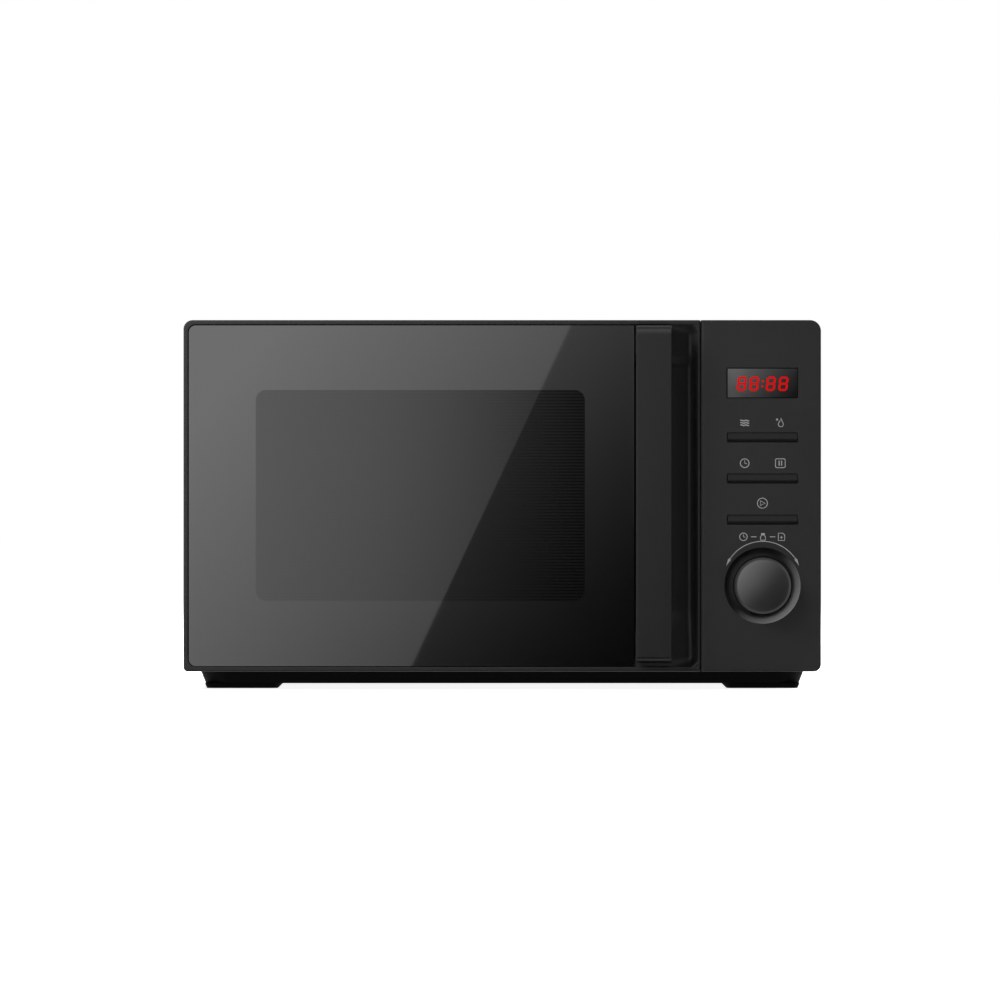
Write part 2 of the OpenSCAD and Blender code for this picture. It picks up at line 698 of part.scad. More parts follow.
module door_handle() color([0.12, 0.12, 0.125]) difference() {
    union() {
        translate([0, 0, handle_z0]) linear_extrude(handle_z1 - handle_z0)
            even_rounded([handle_x0, door_y0 - handle_proud], [handle_x1, door_y0 - handle_proud + handle_t], handle_edge);
        for (z = [handle_z0, handle_z1 - handle_block])
            block([handle_x0, door_y0 - handle_proud + handle_t - 2, z], [handle_x1, scoop_y, z + handle_block]);
    }
    for (z = handle_screw_z) rod_y(scoop_y - 10, scoop_y + over, screw_r, handle_mid, z);
}

module handle_screws() color([0.55, 0.55, 0.56]) for (z = handle_screw_z) {
    rod_y(scoop_y - 9, scoop_y + wall + 0.5, screw_r, handle_mid, z);
    rod_y(scoop_y + wall, scoop_y + wall + head_t, head_r - 0.5, handle_mid, z);
}

// ---- latch ----

module latch_hook() color([0.85, 0.85, 0.82]) {
    x0 = hook_x - hook_t / 2;
    x1 = hook_x + hook_t / 2;
    block([x0, hook_y0 + 0.5, spine_z0], [x1, hook_y1, spine_z1]);
    for (z = [arm_low_z, arm_high_z]) {
        block([x0, hook_y1 - 1, z], [x1, hook_tip, z + hook_arm]);
        translate([x0, 0, 0]) rotate([90, 0, 90]) linear_extrude(hook_t)
            polygon([[hook_tip - 5, z + 1], [hook_tip - 5, z - hook_nose], [hook_tip - 3, z - hook_nose],
                [hook_tip, z], [hook_tip, z + 1]]);
    }
}

function ring_at(c, tangent, r, n) = let (
    side = [-tangent.y, tangent.x, 0] / norm([tangent.x, tangent.y]),
    up = cross(tangent, side)
) [for (k = [0:n - 1]) c + r * (cos(360 * k / n) * side + sin(360 * k / n) * up)];

// Helix of round wire, closed by flat ends
module coil(turns, r, wire, h) {
    steps = 16;
    sides = 6;
    n = turns * steps;
    rings = [for (i = [0:n]) let (a = 360 * i / steps, t = [-sin(a) * r, cos(a) * r, h / (2 * PI * turns)])
        ring_at([r * cos(a), r * sin(a), h * i / n], t / norm(t), wire / 2, sides)];
    points = [for (ring = rings) each ring];
    skin = [for (i = [0:n - 1], k = [0:sides - 1]) let (a = i * sides + k, b = i * sides + (k + 1) % sides)
        [a, a + sides, b + sides, b]];
    first = [for (k = [0:sides - 1]) k];
    last = [for (k = [sides - 1:-1:0]) n * sides + k];
    polyhedron(points, concat(skin, [first], [last]));
}

module hook_spring() color([0.75, 0.75, 0.75])
    translate([hook_x, (hook_y0 + hook_y1) / 2, spine_z1 + run + spring_wire / 2])
        coil(spring_turns, spring_r, spring_wire, stop_z - spine_z1 - 2 * run - spring_wire);

// Bracket behind the front plate: the catches under each hook nose, and the seats of the switches
module latch_board() color([0.88, 0.87, 0.82]) {
    back = plate_y1 + board_depth;
    block([board_x, plate_y1, arm_low_z - 30], [board_x + wall, back, arm_high_z + hook_arm + 32]);
    for (z = [arm_low_z, arm_high_z]) {
        ledge_z = z - hook_nose - 0.4;
        block([hook_x - 7, plate_y1, ledge_z - 4], [board_x + 1, hook_tip + 1, ledge_z]);
        block([hook_x - 7, plate_y1, z + hook_arm + hook_lift + 1],
            [board_x + 1, hook_tip + 1, z + hook_arm + hook_lift + 4]);
    }
}

module microswitch(z0, plunger_z) difference() {
    translate([hook_x - switch_size.x / 2 + 5.9, switch_y, z0]) cube(switch_size);
    translate([hook_x - plunger_s / 2 - 0.2, switch_y - over, plunger_z - plunger_s / 2 - 0.2])
        cube([plunger_s + 0.4, 5 + switch_travel, plunger_s + 0.4]);
}

module microswitches() color([0.2, 0.2, 0.22]) {
    microswitch(plunger_low[0] - switch_size.z + 2, plunger_low[0]);
    microswitch(plunger_low[1] - 2, plunger_low[1]);
    microswitch(plunger_high - 8, plunger_high);
}

module switch_plungers() color([0.8, 0.2, 0.15]) for (z = [plunger_low[0], plunger_low[1], plunger_high])
    translate([hook_x - plunger_s / 2, hook_tip + run, z - plunger_s / 2])
        cube([plunger_s, switch_y + 3 - hook_tip - run, plunger_s]);

// ---- microwave source ----

module magnetron_yoke() color([0.72, 0.72, 0.7]) {
    y0 = magnetron_y - yoke_size.y / 2;
    y1 = magnetron_y + yoke_size.y / 2;
    z0 = magnetron_z - yoke_size.z / 2;
    z1 = magnetron_z + yoke_size.z / 2;
    difference() {
        block([guide_x1, y0, z0], [yoke_x1, y1, z1]);
        block([guide_x1 + 2, y0 - over, z0 + 2], [yoke_x1 - 2, y1 + over, z1 - 2]);
        rod_x(guide_x1 - over, guide_x1 + 3, 9, magnetron_y, magnetron_z);
    }
    // filter box
    difference() {
        block([yoke_x1, magnetron_y - filter_box.y / 2, magnetron_z - filter_box.z / 2],
            [yoke_x1 + filter_box.x, magnetron_y + filter_box.y / 2, magnetron_z + filter_box.z / 2]);
        block([yoke_x1 + 1, magnetron_y - filter_box.y / 2 + 1, magnetron_z - filter_box.z / 2 + 1],
            [yoke_x1 + filter_box.x - 1, magnetron_y + filter_box.y / 2 - 1, magnetron_z + filter_box.z / 2 + over]);
    }
}

module magnetron_core() color([0.8, 0.55, 0.35]) {
    rod_x(guide_x1 + 2, yoke_x1 - 2, 19, magnetron_y, magnetron_z);
    rod_x(guide_x1 - 20, guide_x1 + 3, 7, magnetron_y, magnetron_z);
    for (i = [1:5]) translate([guide_x1 + 2 + i * (yoke_size.x - 4) / 6, 0, 0])
        block([-0.4, magnetron_y - 36, magnetron_z - yoke_size.z / 2 + 2],
            [0.4, magnetron_y + 36, magnetron_z + yoke_size.z / 2 - 2]);
}

module transformer_core() color([0.35, 0.33, 0.32]) {
    x0 = transformer_x - transformer.x / 2;
    z0 = pan_floor;
    difference() {
        block([x0, transformer_y - transformer.y / 2, z0],
            [x0 + transformer.x, transformer_y + transformer.y / 2, z0 + transformer.z]);
        for (s = [-1, 1]) translate([transformer_x + s * (leg_w + window_leg) / 2 - window_leg / 2,
            transformer_y - transformer.y / 2 - over, z0 + yoke_t])
            cube([window_leg, transformer.y + 2 * over, transformer.z - 2 * yoke_t]);
    }
}

module winding(z0, z1, bulge) difference() {
    reach = leg_w / 2 + window_leg - coil_gap;
    block([transformer_x - reach, transformer_y - transformer.y / 2 - bulge, z0],
        [transformer_x + reach, transformer_y + transformer.y / 2 + bulge, z1]);
    block([transformer_x - leg_w / 2 - coil_gap, transformer_y - transformer.y / 2 - coil_gap, z0 - over],
        [transformer_x + leg_w / 2 + coil_gap, transformer_y + transformer.y / 2 + coil_gap, z1 + over]);
}

module transformer_windings() color([0.72, 0.38, 0.18]) {
    low = pan_floor + yoke_t;
    high = low + transformer.z - 2 * yoke_t;
    mid = (low + high) / 2;
    winding(low, mid - 2, 12);
    winding(mid + 2, high, 14);
}

module hv_capacitor() color([0.75, 0.75, 0.73]) {
    r = capacitor.z / 2;
    z = pan_floor + r + 1;
    dx = capacitor.x / 2 - r;
    y0 = capacitor_y - capacitor.y / 2;
    for (s = [-1, 1]) rod_y(y0, y0 + capacitor.y, r, capacitor_x + s * dx, z);
    block([capacitor_x - dx, y0, z - r], [capacitor_x + dx, y0 + capacitor.y, z + r]);
    for (s = [-1, 1])
        block([capacitor_x + s * 9 - 3, y0 - 10, z - 0.4], [capacitor_x + s * 9 + 3, y0 + 1, z + 0.4]);
}

module capacitor_clamp() color([0.65, 0.65, 0.65]) {
    r = capacitor.z / 2;
    z = pan_floor + r + 1;
    dx = capacitor.x / 2 - r;
    foot = capacitor_x + capacitor.x / 2 + 1;
    difference() {
        union() {
            for (s = [-1, 1]) rod_y(capacitor_y - 7, capacitor_y + 7, r + 1, capacitor_x + s * dx, z);
            block([capacitor_x - dx, capacitor_y - 7, z - r - 1],
                [capacitor_x + dx, capacitor_y + 7, z + r + 1]);
            block([foot - 1, capacitor_y - 7, pan_floor], [foot, capacitor_y + 7, z]);
            block([foot - 1, capacitor_y - 7, pan_floor], [foot + 14, capacitor_y + 7, pan_floor + 1]);
        }
        for (s = [-1, 1]) rod_y(capacitor_y - 8, capacitor_y + 8, r + bore_play, capacitor_x + s * dx, z);
        block([capacitor_x - dx, capacitor_y - 8, z - r], [capacitor_x + dx, capacitor_y + 8, z + r]);
    }
}

module hv_diode() color([0.15, 0.15, 0.15]) {
    x = capacitor_x + 9;
    y = capacitor_y - capacitor.y / 2 - 10;
    z = pan_floor + capacitor.z / 2 + 1;
    rod_y(y - 24, y - 6, 3.5, x, z);
    rod_y(y - 7, y, 1, x, z);
    rod_z(pan_floor, z - 3, 2.2, x, y - 20);
    block([x - 2, y - 22, z - 4], [x + 2, y - 18, z - 2]);
}

module thermal_cutouts() color([0.9, 0.88, 0.8]) {
    rod_z(magnetron_z + yoke_size.z / 2, magnetron_z + yoke_size.z / 2 + 8, 8, guide_x1 + 28, magnetron_y);
    rod_x(bay_x0, bay_x0 + 9, 8, -12, magnetron_z - 50);
}

filter_y0 = rear_y0 - 52;
filter_z = fan_z + shroud_side / 2 + 4;

module line_filter_board() color([0.1, 0.35, 0.15]) {
    block([fan_x - 44, filter_y0, filter_z], [fan_x + 44, rear_y0 - 4, filter_z + pcb_t]);
    block([fan_x - 38, filter_y0 + 6, filter_z + pcb_t], [fan_x - 14, filter_y0 + 20, filter_z + 18]);
    rod_z(filter_z + pcb_t, filter_z + 22, 12, fan_x + 10, filter_y0 + 28);
    block([fan_x + 28, filter_y0 + 8, filter_z + pcb_t], [fan_x + 34, filter_y0 + 34, filter_z + 9]);
    for (x = [-38, 38]) rod_z(filter_z - 4, filter_z, 3, fan_x + x, rear_y0 - 12);
}

// ---- cooling fan ----

module fan_shroud() color([0.75, 0.75, 0.73]) difference() {
    s = shroud_side / 2;
    union() {
        difference() {
            block([fan_x - s, shroud_y0, fan_z - s], [fan_x + s, rear_y0, fan_z + s]);
            rod_y(shroud_y0 - over, rear_y0 + over, fan_r + 3, fan_x, fan_z);
            for (i = [-1, 1], j = [-1, 1]) translate([fan_x + i * (s - 7), 0, fan_z + j * (s - 7)])
                block([-5, shroud_y0 - over, -5], [5, rear_y0 - 3, 5]);
        }
        block([fan_x - s + 3, shroud_y0, fan_z - 9], [fan_x + s - 3, shroud_y0 + spider_t, fan_z + 9]);
    }
    rod_y(shroud_y0 - over, shroud_y0 + spider_t + over, 4, fan_x, fan_z);
}

module fan_motor() color([0.45, 0.44, 0.42]) difference() {
    union() {
        block([fan_x - 30, shroud_y0 - 20, fan_z - 24], [fan_x + 30, shroud_y0, fan_z + 24]);
        block([fan_x - 14, shroud_y0 - 28, fan_z - 40], [fan_x + 14, shroud_y0 - 2, fan_z - 22]);
    }
    rod_y(shroud_y0 - 14, shroud_y0 + over, fan_shaft_r + bore_play, fan_x, fan_z);
}

module fan_blade() color([0.8, 0.8, 0.78]) {
    y0 = shroud_y0 + spider_t + 2;
    rod_y(shroud_y0 - 13, y0 + 2, fan_shaft_r, fan_x, fan_z);
    rod_y(y0, y0 + 22, 12, fan_x, fan_z);
    for (i = [0:blade_count - 1]) translate([fan_x, y0 + 11, fan_z]) rotate([0, i * 360 / blade_count, 0])
        translate([fan_r / 2 + 2, 0, 0]) rotate([38, 0, 0]) cube([fan_r - 10, 1.6, 26], center = true);
}

// ---- turntable ----

module turntable_motor_unit() color([0.68, 0.68, 0.66]) difference() {
    union() {
        rod_z(motor_z, cav_z0 - sheet_t, turntable_motor.x / 2, tt_x, tt_y);
        block([tt_x - 31, tt_y - 5, cav_z0 - sheet_t - 1.2], [tt_x + 31, tt_y + 5, cav_z0 - sheet_t]);
    }
    rod_z(motor_z + 4, cav_z0 + over, coupler_r + bore_play, tt_x, tt_y);
}

module turntable_coupler() color([0.92, 0.9, 0.84]) {
    rod_z(motor_z + 4.5, cav_z0 + 3, coupler_r, tt_x, tt_y);
    rod_z(cav_z0 + 2, glass_z - 3, 9, tt_x, tt_y);
    for (i = [0:2]) translate([tt_x, tt_y, 0]) rotate([0, 0, 30 + i * 120])
        block([0, -3.5, glass_z - 6], [coupler_arm, 3.5, glass_z]);
}

module glass_turntable() color([0.75, 0.8, 0.8, 0.5]) translate([tt_x, tt_y, glass_z]) {
    rotate_extrude($fn = 96)
        polygon([[0, 0], [tt_r - 8, 0], [tt_r, 8], [tt_r, 11], [tt_r - 3, 11], [tt_r - 11, turntable_t], [0, turntable_t]]);
    // lugs that the coupler's arms drive
    for (i = [0:2]) rotate([0, 0, 90 + i * 120]) translate([17, 0, -4]) cylinder(r = 3, h = 5);
}

module roller_ring() color([0.9, 0.89, 0.84]) translate([tt_x, tt_y, 0]) {
    translate([0, 0, ring_z]) rotate_extrude($fn = 96) translate([ring_r - 5, 0]) square([10, ring_h]);
    for (i = [0:2]) rotate([0, 0, roller_angle(i)]) {
        rod_x(ring_r, roller_track_r + roller_w / 2 + run + 2, axle_r, 0, roller_z);
        rod_x(roller_track_r + roller_w / 2 + run, roller_track_r + roller_w / 2 + run + 2, axle_r + 1, 0, roller_z);
    }
}

function roller_angle(i) = 30 + 120 * i;

module roller(i) color([0.86, 0.86, 0.82]) translate([tt_x, tt_y, 0]) rotate([0, 0, roller_angle(i)]) difference() {
    rod_x(roller_track_r - roller_w / 2, roller_track_r + roller_w / 2, roller_r, 0, roller_z);
    rod_x(roller_track_r - roller_w, roller_track_r + roller_w, axle_r + bore_play, 0, roller_z);
}

module roller_1() roller(0);

module roller_2() roller(1);

module roller_3() roller(2);

// ---- control panel ----

panel_boss_x = [panel_x0 + 7, half_w - 8];
panel_boss_z = [z_low + 8, z_top - 9];
panel_boss_r = 4;
pcb_x0 = panel_x0 + 6;
pcb_x1 = half_w - 6;
pcb_z0 = z_low + 24;
pcb_z1 = z_top - 22;
pcb_post_inset = 4;

module panel_outline(d)
    rounded([panel_x0 + d, z_low + d], [half_w - d, z_top - d],
        [0.5, max(0.5, corner_r[1] - d), max(0.5, corner_r[2] - d), 0.5]);

module pcb_posts(y0, y1, r) for (x = [pcb_x0 + pcb_post_inset, pcb_x1 - pcb_post_inset],
    z = [pcb_z0 + pcb_post_inset, pcb_z1 - pcb_post_inset]) rod_y(y0, y1, r, x, z);

module key_slot(i) block2([control_x - key_w / 2, key_z1[i] - key_slot_h], [control_x + key_w / 2, key_z1[i]]);

// Bridge behind a rocking key, which carries the key's round pivot in the middle
module key_bridge(i) {
    z = key_z1[i] - key_slot_h / 2;
    back = key_y1 + run;
    block([control_x - 2, back, z - key_slot_h / 2 - 4], [control_x + 2, back + 2, z + key_slot_h / 2 + 4]);
    for (s = [-1, 1]) block([control_x - 2, panel_face_y - 1, z + s * (key_slot_h / 2 + 3) - 1],
        [control_x + 2, back + 1, z + s * (key_slot_h / 2 + 3) + 1]);
}

module control_panel() color([0.14, 0.14, 0.145]) difference() {
    union() {
        slab(door_y0, panel_face_y) panel_outline(0);
        slab(door_y0, plate_y0) difference() {
            panel_outline(0);
            panel_outline(wall);
        }
        rod_y(door_y0 + 1, well_back, dish_d / 2 + 2, control_x, knob_z);
        for (x = panel_boss_x, z = panel_boss_z) rod_y(panel_face_y - 1, plate_y0, panel_boss_r, x, z);
        pcb_posts(panel_face_y - 1, pcb_y, 3);
        for (i = [0:1]) key_bridge(i);
    }
    slab(door_y0 - over, panel_face_y + over) for (i = [0:2]) key_slot(i);
    slab(door_y0 - over, door_y0 + lens_t)
        even_rounded([control_x - key_w / 2, display_z0], [control_x + key_w / 2, display_z1], display_r);
    slab(door_y0 - over, panel_face_y + over)
        block2([control_x - key_w / 2 + 2, display_z0 + 2], [control_x + key_w / 2 - 2, display_z1 - 2]);
    // dish: a cone from the rim down to the well that the knob turns in
    translate([control_x, door_y0, knob_z]) rotate([-90, 0, 0]) rotate_extrude($fn = 96)
        polygon([[0, -over], [dish_d / 2 + 0.5, -over], [dish_d / 2, 0], [knob_d / 2 + 0.6, dish_depth],
            [knob_d / 2 + 0.6, dish_depth + 1], [0, dish_depth + 1]]);
    rod_y(well_y - over, well_back + over, shaft_r + 1.2, control_x, knob_z);
    for (x = panel_boss_x, z = panel_boss_z) rod_y(plate_y0 - 12, plate_y0 + over, screw_r, x, z);
}

module display_lens() color([0.08, 0.03, 0.03, 0.6]) slab(door_y0, door_y0 + lens_t)
    even_rounded([control_x - key_w / 2 + 0.1, display_z0 + 0.1],
        [control_x + key_w / 2 - 0.1, display_z1 - 0.1], display_r);

module display_module() color([0.1, 0.1, 0.1])
    block([control_x - key_w / 2 + 3, panel_face_y + 1.5, display_z0 + 2.5],
        [control_x + key_w / 2 - 3, pcb_y, display_z1 - 2.5]);

module control_board() color([0.1, 0.3, 0.14]) {
    block([pcb_x0, pcb_y, pcb_z0], [pcb_x1, pcb_y + pcb_t, pcb_z1]);
    for (i = [0:2], s = i < 2 ? [-1, 1] : [0])
        translate([control_x + s * stem_x - tact.x / 2, tact_y, key_z1[i] - key_slot_h / 2 - tact.z / 2]) cube(tact);
    // relays and the small supply transformer behind the board
    block([control_x + 4, pcb_y + pcb_t, z_low + 92], [control_x + 24, plate_y0 - 3, z_low + 118]);
    block([control_x - 28, pcb_y + pcb_t, z_low + 92], [control_x - 10, plate_y0 - 3, z_low + 112]);
    block([control_x - 20, pcb_y + pcb_t, z_low + 40], [control_x + 16, plate_y1 + 12, z_low + 74]);
}

module encoder_body() color([0.5, 0.5, 0.5]) difference() {
    union() {
        translate([control_x - encoder.x / 2, pcb_y - encoder.y, knob_z - encoder.z / 2]) cube(encoder);
        rod_y(well_back + 0.6, pcb_y - encoder.y + 1, shaft_r + 1.5, control_x, knob_z);
    }
    rod_y(well_back, pcb_y - 1.5, shaft_r + bore_play, control_x, knob_z);
}

module encoder_shaft() color([0.75, 0.75, 0.74]) rod_y(knob_y0 + 6, pcb_y - 2, shaft_r, control_x, knob_z);

module control_knob() color([0.16, 0.16, 0.165]) translate([control_x, 0, knob_z]) rotate([90, 0, 0]) {
    body = -knob_y0;
    back = -knob_y1;
    chamfer = (knob_d - knob_face_d) / 2;
    difference() {
        rotate_extrude($fn = 96) polygon(concat(
            [[0, back], [knob_d / 2, back], [knob_d / 2, body - chamfer], [knob_face_d / 2, body]],
            [for (i = [1:6]) [knob_face_d / 2 * (1 - i / 6), body + knob_dome * (1 - pow(1 - i / 6, 2))]]));
        difference() {
            translate([0, 0, back - over]) cylinder(r = knob_d / 2 - wall, h = body - back - wall);
            translate([0, 0, back - 2 * over]) cylinder(r = 6.5, h = body - back);
        }
        translate([0, 0, back - over]) cylinder(r = shaft_r + 0.01, h = body - 6 - back + over + 0.01);
    }
}

// Bar whose face leans out towards its lower edge
module key_bar(i, bar_y1) {
    z1 = key_z1[i] - run;
    z0 = z1 - key_h;
    translate([control_x - key_w / 2 + key_play, 0, 0]) rotate([90, 0, 90]) linear_extrude(key_w - 2 * key_play)
        polygon([[bar_y1, z0], [bar_y1, z1], [door_y0 + key_sink, z1], [door_y0 - key_lip, z0 + 0.8],
            [door_y0 - key_lip + 0.6, z0]]);
}

module key_stem(i, dx, play)
    rod_y(key_y1 - pivot_proud - 1, tact_y - play, stem_r, control_x + dx, key_z1[i] - run - key_h / 2);

module rocker_key(i) color([0.15, 0.15, 0.155]) {
    key_bar(i, key_y1 - pivot_proud);
    translate([control_x, key_y1 - pivot_r, key_z1[i] - run - key_h]) cylinder(r = pivot_r, h = key_h);
    for (s = [-1, 1]) key_stem(i, s * stem_x, tact_play + stem_x * sin(key_rock));
}

module upper_key() rocker_key(0);

module middle_key() rocker_key(1);

module start_key() color([0.15, 0.15, 0.155]) {
    key_bar(2, key_y1);
    key_stem(2, 0, tact_play + key_travel);
}

module panel_screws() color([0.55, 0.55, 0.56]) for (x = panel_boss_x, z = panel_boss_z) {
    rod_y(plate_y0 - 11, plate_y1 + 0.5, screw_r, x, z);
    rod_y(plate_y1, plate_y1 + head_t, head_r, x, z);
}

outer_cabinet();
base_pan();
front_feet();
rear_feet();
rear_panel();
wall_spacers();
case_screws();
cavity_liner();
front_plate();
waveguide();
waveguide_cover();
oven_lamp();
lamp_holder();
upper_hinge();
lower_hinge();
door_frame();
door_glass();
door_screen();
inner_window();
door_inner_cover();
door_handle();
handle_screws();
latch_hook();
hook_spring();
latch_board();
microswitches();
switch_plungers();
magnetron_yoke();
magnetron_core();
transformer_core();
transformer_windings();
hv_capacitor();
capacitor_clamp();
hv_diode();
thermal_cutouts();
line_filter_board();
cord_gland();
fan_motor();
fan_shroud();
fan_blade();
turntable_motor_unit();
turntable_coupler();
glass_turntable();
roller_ring();
roller_1();
roller_2();
roller_3();
control_panel();
display_lens();
display_module();
control_board();
encoder_body();
encoder_shaft();
control_knob();
upper_key();
middle_key();
start_key();
panel_screws();
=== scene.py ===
import json
import math
import random

import bmesh
import bpy
from mathutils import Matrix, Vector
from mathutils.geometry import delaunay_2d_cdt


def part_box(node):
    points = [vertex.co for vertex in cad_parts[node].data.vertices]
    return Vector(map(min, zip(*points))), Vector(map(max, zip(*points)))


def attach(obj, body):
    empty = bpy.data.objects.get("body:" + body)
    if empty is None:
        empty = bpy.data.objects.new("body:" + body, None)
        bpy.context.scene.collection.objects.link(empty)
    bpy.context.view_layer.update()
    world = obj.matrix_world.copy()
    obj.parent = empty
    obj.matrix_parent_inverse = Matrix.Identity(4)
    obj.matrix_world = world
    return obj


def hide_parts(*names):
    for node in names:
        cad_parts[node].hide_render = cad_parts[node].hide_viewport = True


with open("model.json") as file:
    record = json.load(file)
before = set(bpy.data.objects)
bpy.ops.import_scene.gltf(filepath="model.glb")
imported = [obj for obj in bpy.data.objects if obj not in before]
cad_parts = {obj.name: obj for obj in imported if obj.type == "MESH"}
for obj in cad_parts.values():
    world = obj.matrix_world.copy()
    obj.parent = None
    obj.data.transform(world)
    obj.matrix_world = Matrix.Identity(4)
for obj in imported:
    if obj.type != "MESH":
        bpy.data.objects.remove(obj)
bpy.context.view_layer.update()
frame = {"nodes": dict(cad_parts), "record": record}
random.seed(7)

MM = 0.001
TAU = 2 * math.pi
WELD = 2e-6
EDGE_ROUND = 1.1


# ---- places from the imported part, in millimetres ----

class Box:
    """A CAD node's box in millimetres."""

    def __init__(self, node):
        low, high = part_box(node)
        self.x0, self.y0, self.z0 = (v / MM for v in low)
        self.x1, self.y1, self.z1 = (v / MM for v in high)
        self.cx = (self.x0 + self.x1) / 2
        self.cy = (self.y0 + self.y1) / 2
        self.cz = (self.z0 + self.z1) / 2


door = Box("door_frame")
glass = Box("door_glass")
handle = Box("door_handle")
panel = Box("control_panel")
lens = Box("display_lens")
knob = Box("control_knob")
screen = Box("door_screen")
keys = [Box(n) for n in ("upper_key", "middle_key", "start_key")]
body_of_node = {n: b for b, ns in frame["record"]["behaviour"]["bodies"].items() for n in ns}
slot_of_node = {s["node"]: s["material_slot"] for s in frame["record"]["subparts"]}
slot_info = {m["slot"]: m for m in frame["record"]["materials"]}
door_pin = next(j["pos_m"] for j in frame["record"]["behaviour"]["joints"] if j["name"] == "door_hinge")

# The camera stands straight in front, level with the middle of the picture
FRAME_WIDTH = 690.0
LENS = 200.0
SENSOR = 36.0
AXIS_X = -1.55
AXIS_Z = 131.3
camera_gap = FRAME_WIDTH * LENS / SENSOR


# ---- materials ----

def socket(bsdf, name, value):
    bsdf.inputs[name].default_value = value


class Finish:
    """A Principled material whose colour, roughness and relief are built up from procedural nodes."""

    def __init__(self, name, colour, rough, metal=0.0, **constants):
        self.material = bpy.data.materials.new(name)
        self.material.use_nodes = True
        self.nodes = self.material.node_tree.nodes
        self.links = self.material.node_tree.links
        self.bsdf = self.nodes["Principled BSDF"]
        self.colour = (*colour[:3], 1.0)
        self.rough = rough
        socket(self.bsdf, "Base Color", self.colour)
        socket(self.bsdf, "Roughness", rough)
        socket(self.bsdf, "Metallic", metal)
        for key, value in constants.items():
            socket(self.bsdf, key.replace("_", " "), value)
        self.coordinates = self.nodes.new("ShaderNodeTexCoord").outputs["Object"]
        self.relief = None

    def noise(self, size, detail=2.0, stretch=(1, 1, 1)):
        """Noise whose blotches are about size metres across."""
        mapping = self.nodes.new("ShaderNodeMapping")
        mapping.inputs["Scale"].default_value = [1 / s for s in stretch]
        texture = self.nodes.new("ShaderNodeTexNoise")
        texture.inputs["Scale"].default_value = 1 / size
        texture.inputs["Detail"].default_value = detail
        self.links.new(self.coordinates, mapping.inputs["Vector"])
        self.links.new(mapping.outputs["Vector"], texture.inputs["Vector"])
        return texture.outputs["Fac"]

    def cells(self, size):
        texture = self.nodes.new("ShaderNodeTexVoronoi")
        texture.inputs["Scale"].default_value = 1 / size
        self.links.new(self.coordinates, texture.inputs["Vector"])
        return texture.outputs["Distance"]

    def spread(self, value, low, high, from_low=0.3, from_high=0.7):
        node = self.nodes.new("ShaderNodeMapRange")
        node.inputs["From Min"].default_value = from_low
        node.inputs["From Max"].default_value = from_high
        node.inputs["To Min"].default_value = low
        node.inputs["To Max"].default_value = high
        self.links.new(value, node.inputs["Value"])
        return node.outputs["Result"]

    def tint(self, value, amount, other=None):
        """Mottles the colour towards other, or darker, by amount."""
        other = other or [c * 0.5 for c in self.colour[:3]]
        mix = self.nodes.new("ShaderNodeMix")
        mix.data_type = "RGBA"
        mix.inputs["A"].default_value = self.colour
        mix.inputs["B"].default_value = (*other, 1.0)
        source = self.bsdf.inputs["Base Color"]
        if source.is_linked:
            self.links.new(source.links[0].from_socket, mix.inputs["A"])
        self.links.new(self.spread(value, 0, amount), mix.inputs["Factor"])
        self.links.new(mix.outputs["Result"], source)
        return self

    def gloss(self, value, amount):
        low, high = max(0.02, self.rough - amount), min(1.0, self.rough + amount)
        self.links.new(self.spread(value, low, high), self.bsdf.inputs["Roughness"])
        return self

    def bump(self, value, height, strength=1.0):
        """Relief of height metres on top of what is there."""
        node = self.nodes.new("ShaderNodeBump")
        node.inputs["Distance"].default_value = height
        node.inputs["Strength"].default_value = strength
        self.links.new(value, node.inputs["Height"])
        if self.relief:
            self.links.new(self.relief, node.inputs["Normal"])
        self.relief = node.outputs["Normal"]
        self.links.new(self.relief, self.bsdf.inputs["Normal"])
        return self

    def math(self, operation, a, b=None, clamp=False):
        node = self.nodes.new("ShaderNodeMath")
        node.operation = operation
        node.use_clamp = clamp
        for i, value in enumerate((a, b)):
            if value is None:
                continue
            if isinstance(value, (int, float)):
                node.inputs[i].default_value = value
            else:
                self.links.new(value, node.inputs[i])
        return node.outputs[0]

    def axis(self, name):
        node = self.nodes.new("ShaderNodeSeparateXYZ")
        self.links.new(self.coordinates, node.inputs["Vector"])
        return node.outputs[name]


def moulding(name, colour, rough, height=0.000012, spec=0.5):
    """Satin moulded plastic: spark-eroded grain, a little uneven in gloss."""
    f = Finish(name, colour, rough, Specular_IOR_Level=spec)
    f.tint(f.noise(0.03, 3), 0.12)
    f.gloss(f.noise(0.012, 1), 0.02)
    f.bump(f.noise(0.0004, 2), height)
    return f


def powder_coat(name, colour, rough=0.5, spec=0.5):
    """Powder coat: orange peel over a fine grit."""
    f = Finish(name, colour, rough, Specular_IOR_Level=spec)
    f.tint(f.noise(0.0006, 2), 0.35, [c * 1.5 for c in colour[:3]])
    f.gloss(f.noise(0.0025, 2), 0.03)
    f.bump(f.noise(0.0016, 2), 0.00004, 0.6)
    f.bump(f.noise(0.0005, 2), 0.00002, 0.6)
    return f


def enamel(name, colour, rough):
    """Baked enamel: smooth, with long soft waves and fine specks."""
    f = Finish(name, colour, rough)
    f.tint(f.noise(0.0009, 1), 0.2, [c * 0.8 for c in colour[:3]])
    f.tint(f.noise(0.06, 1), 0.08)
    f.gloss(f.noise(0.015, 1), 0.03)
    f.bump(f.noise(0.006, 2), 0.00004, 0.5)
    return f


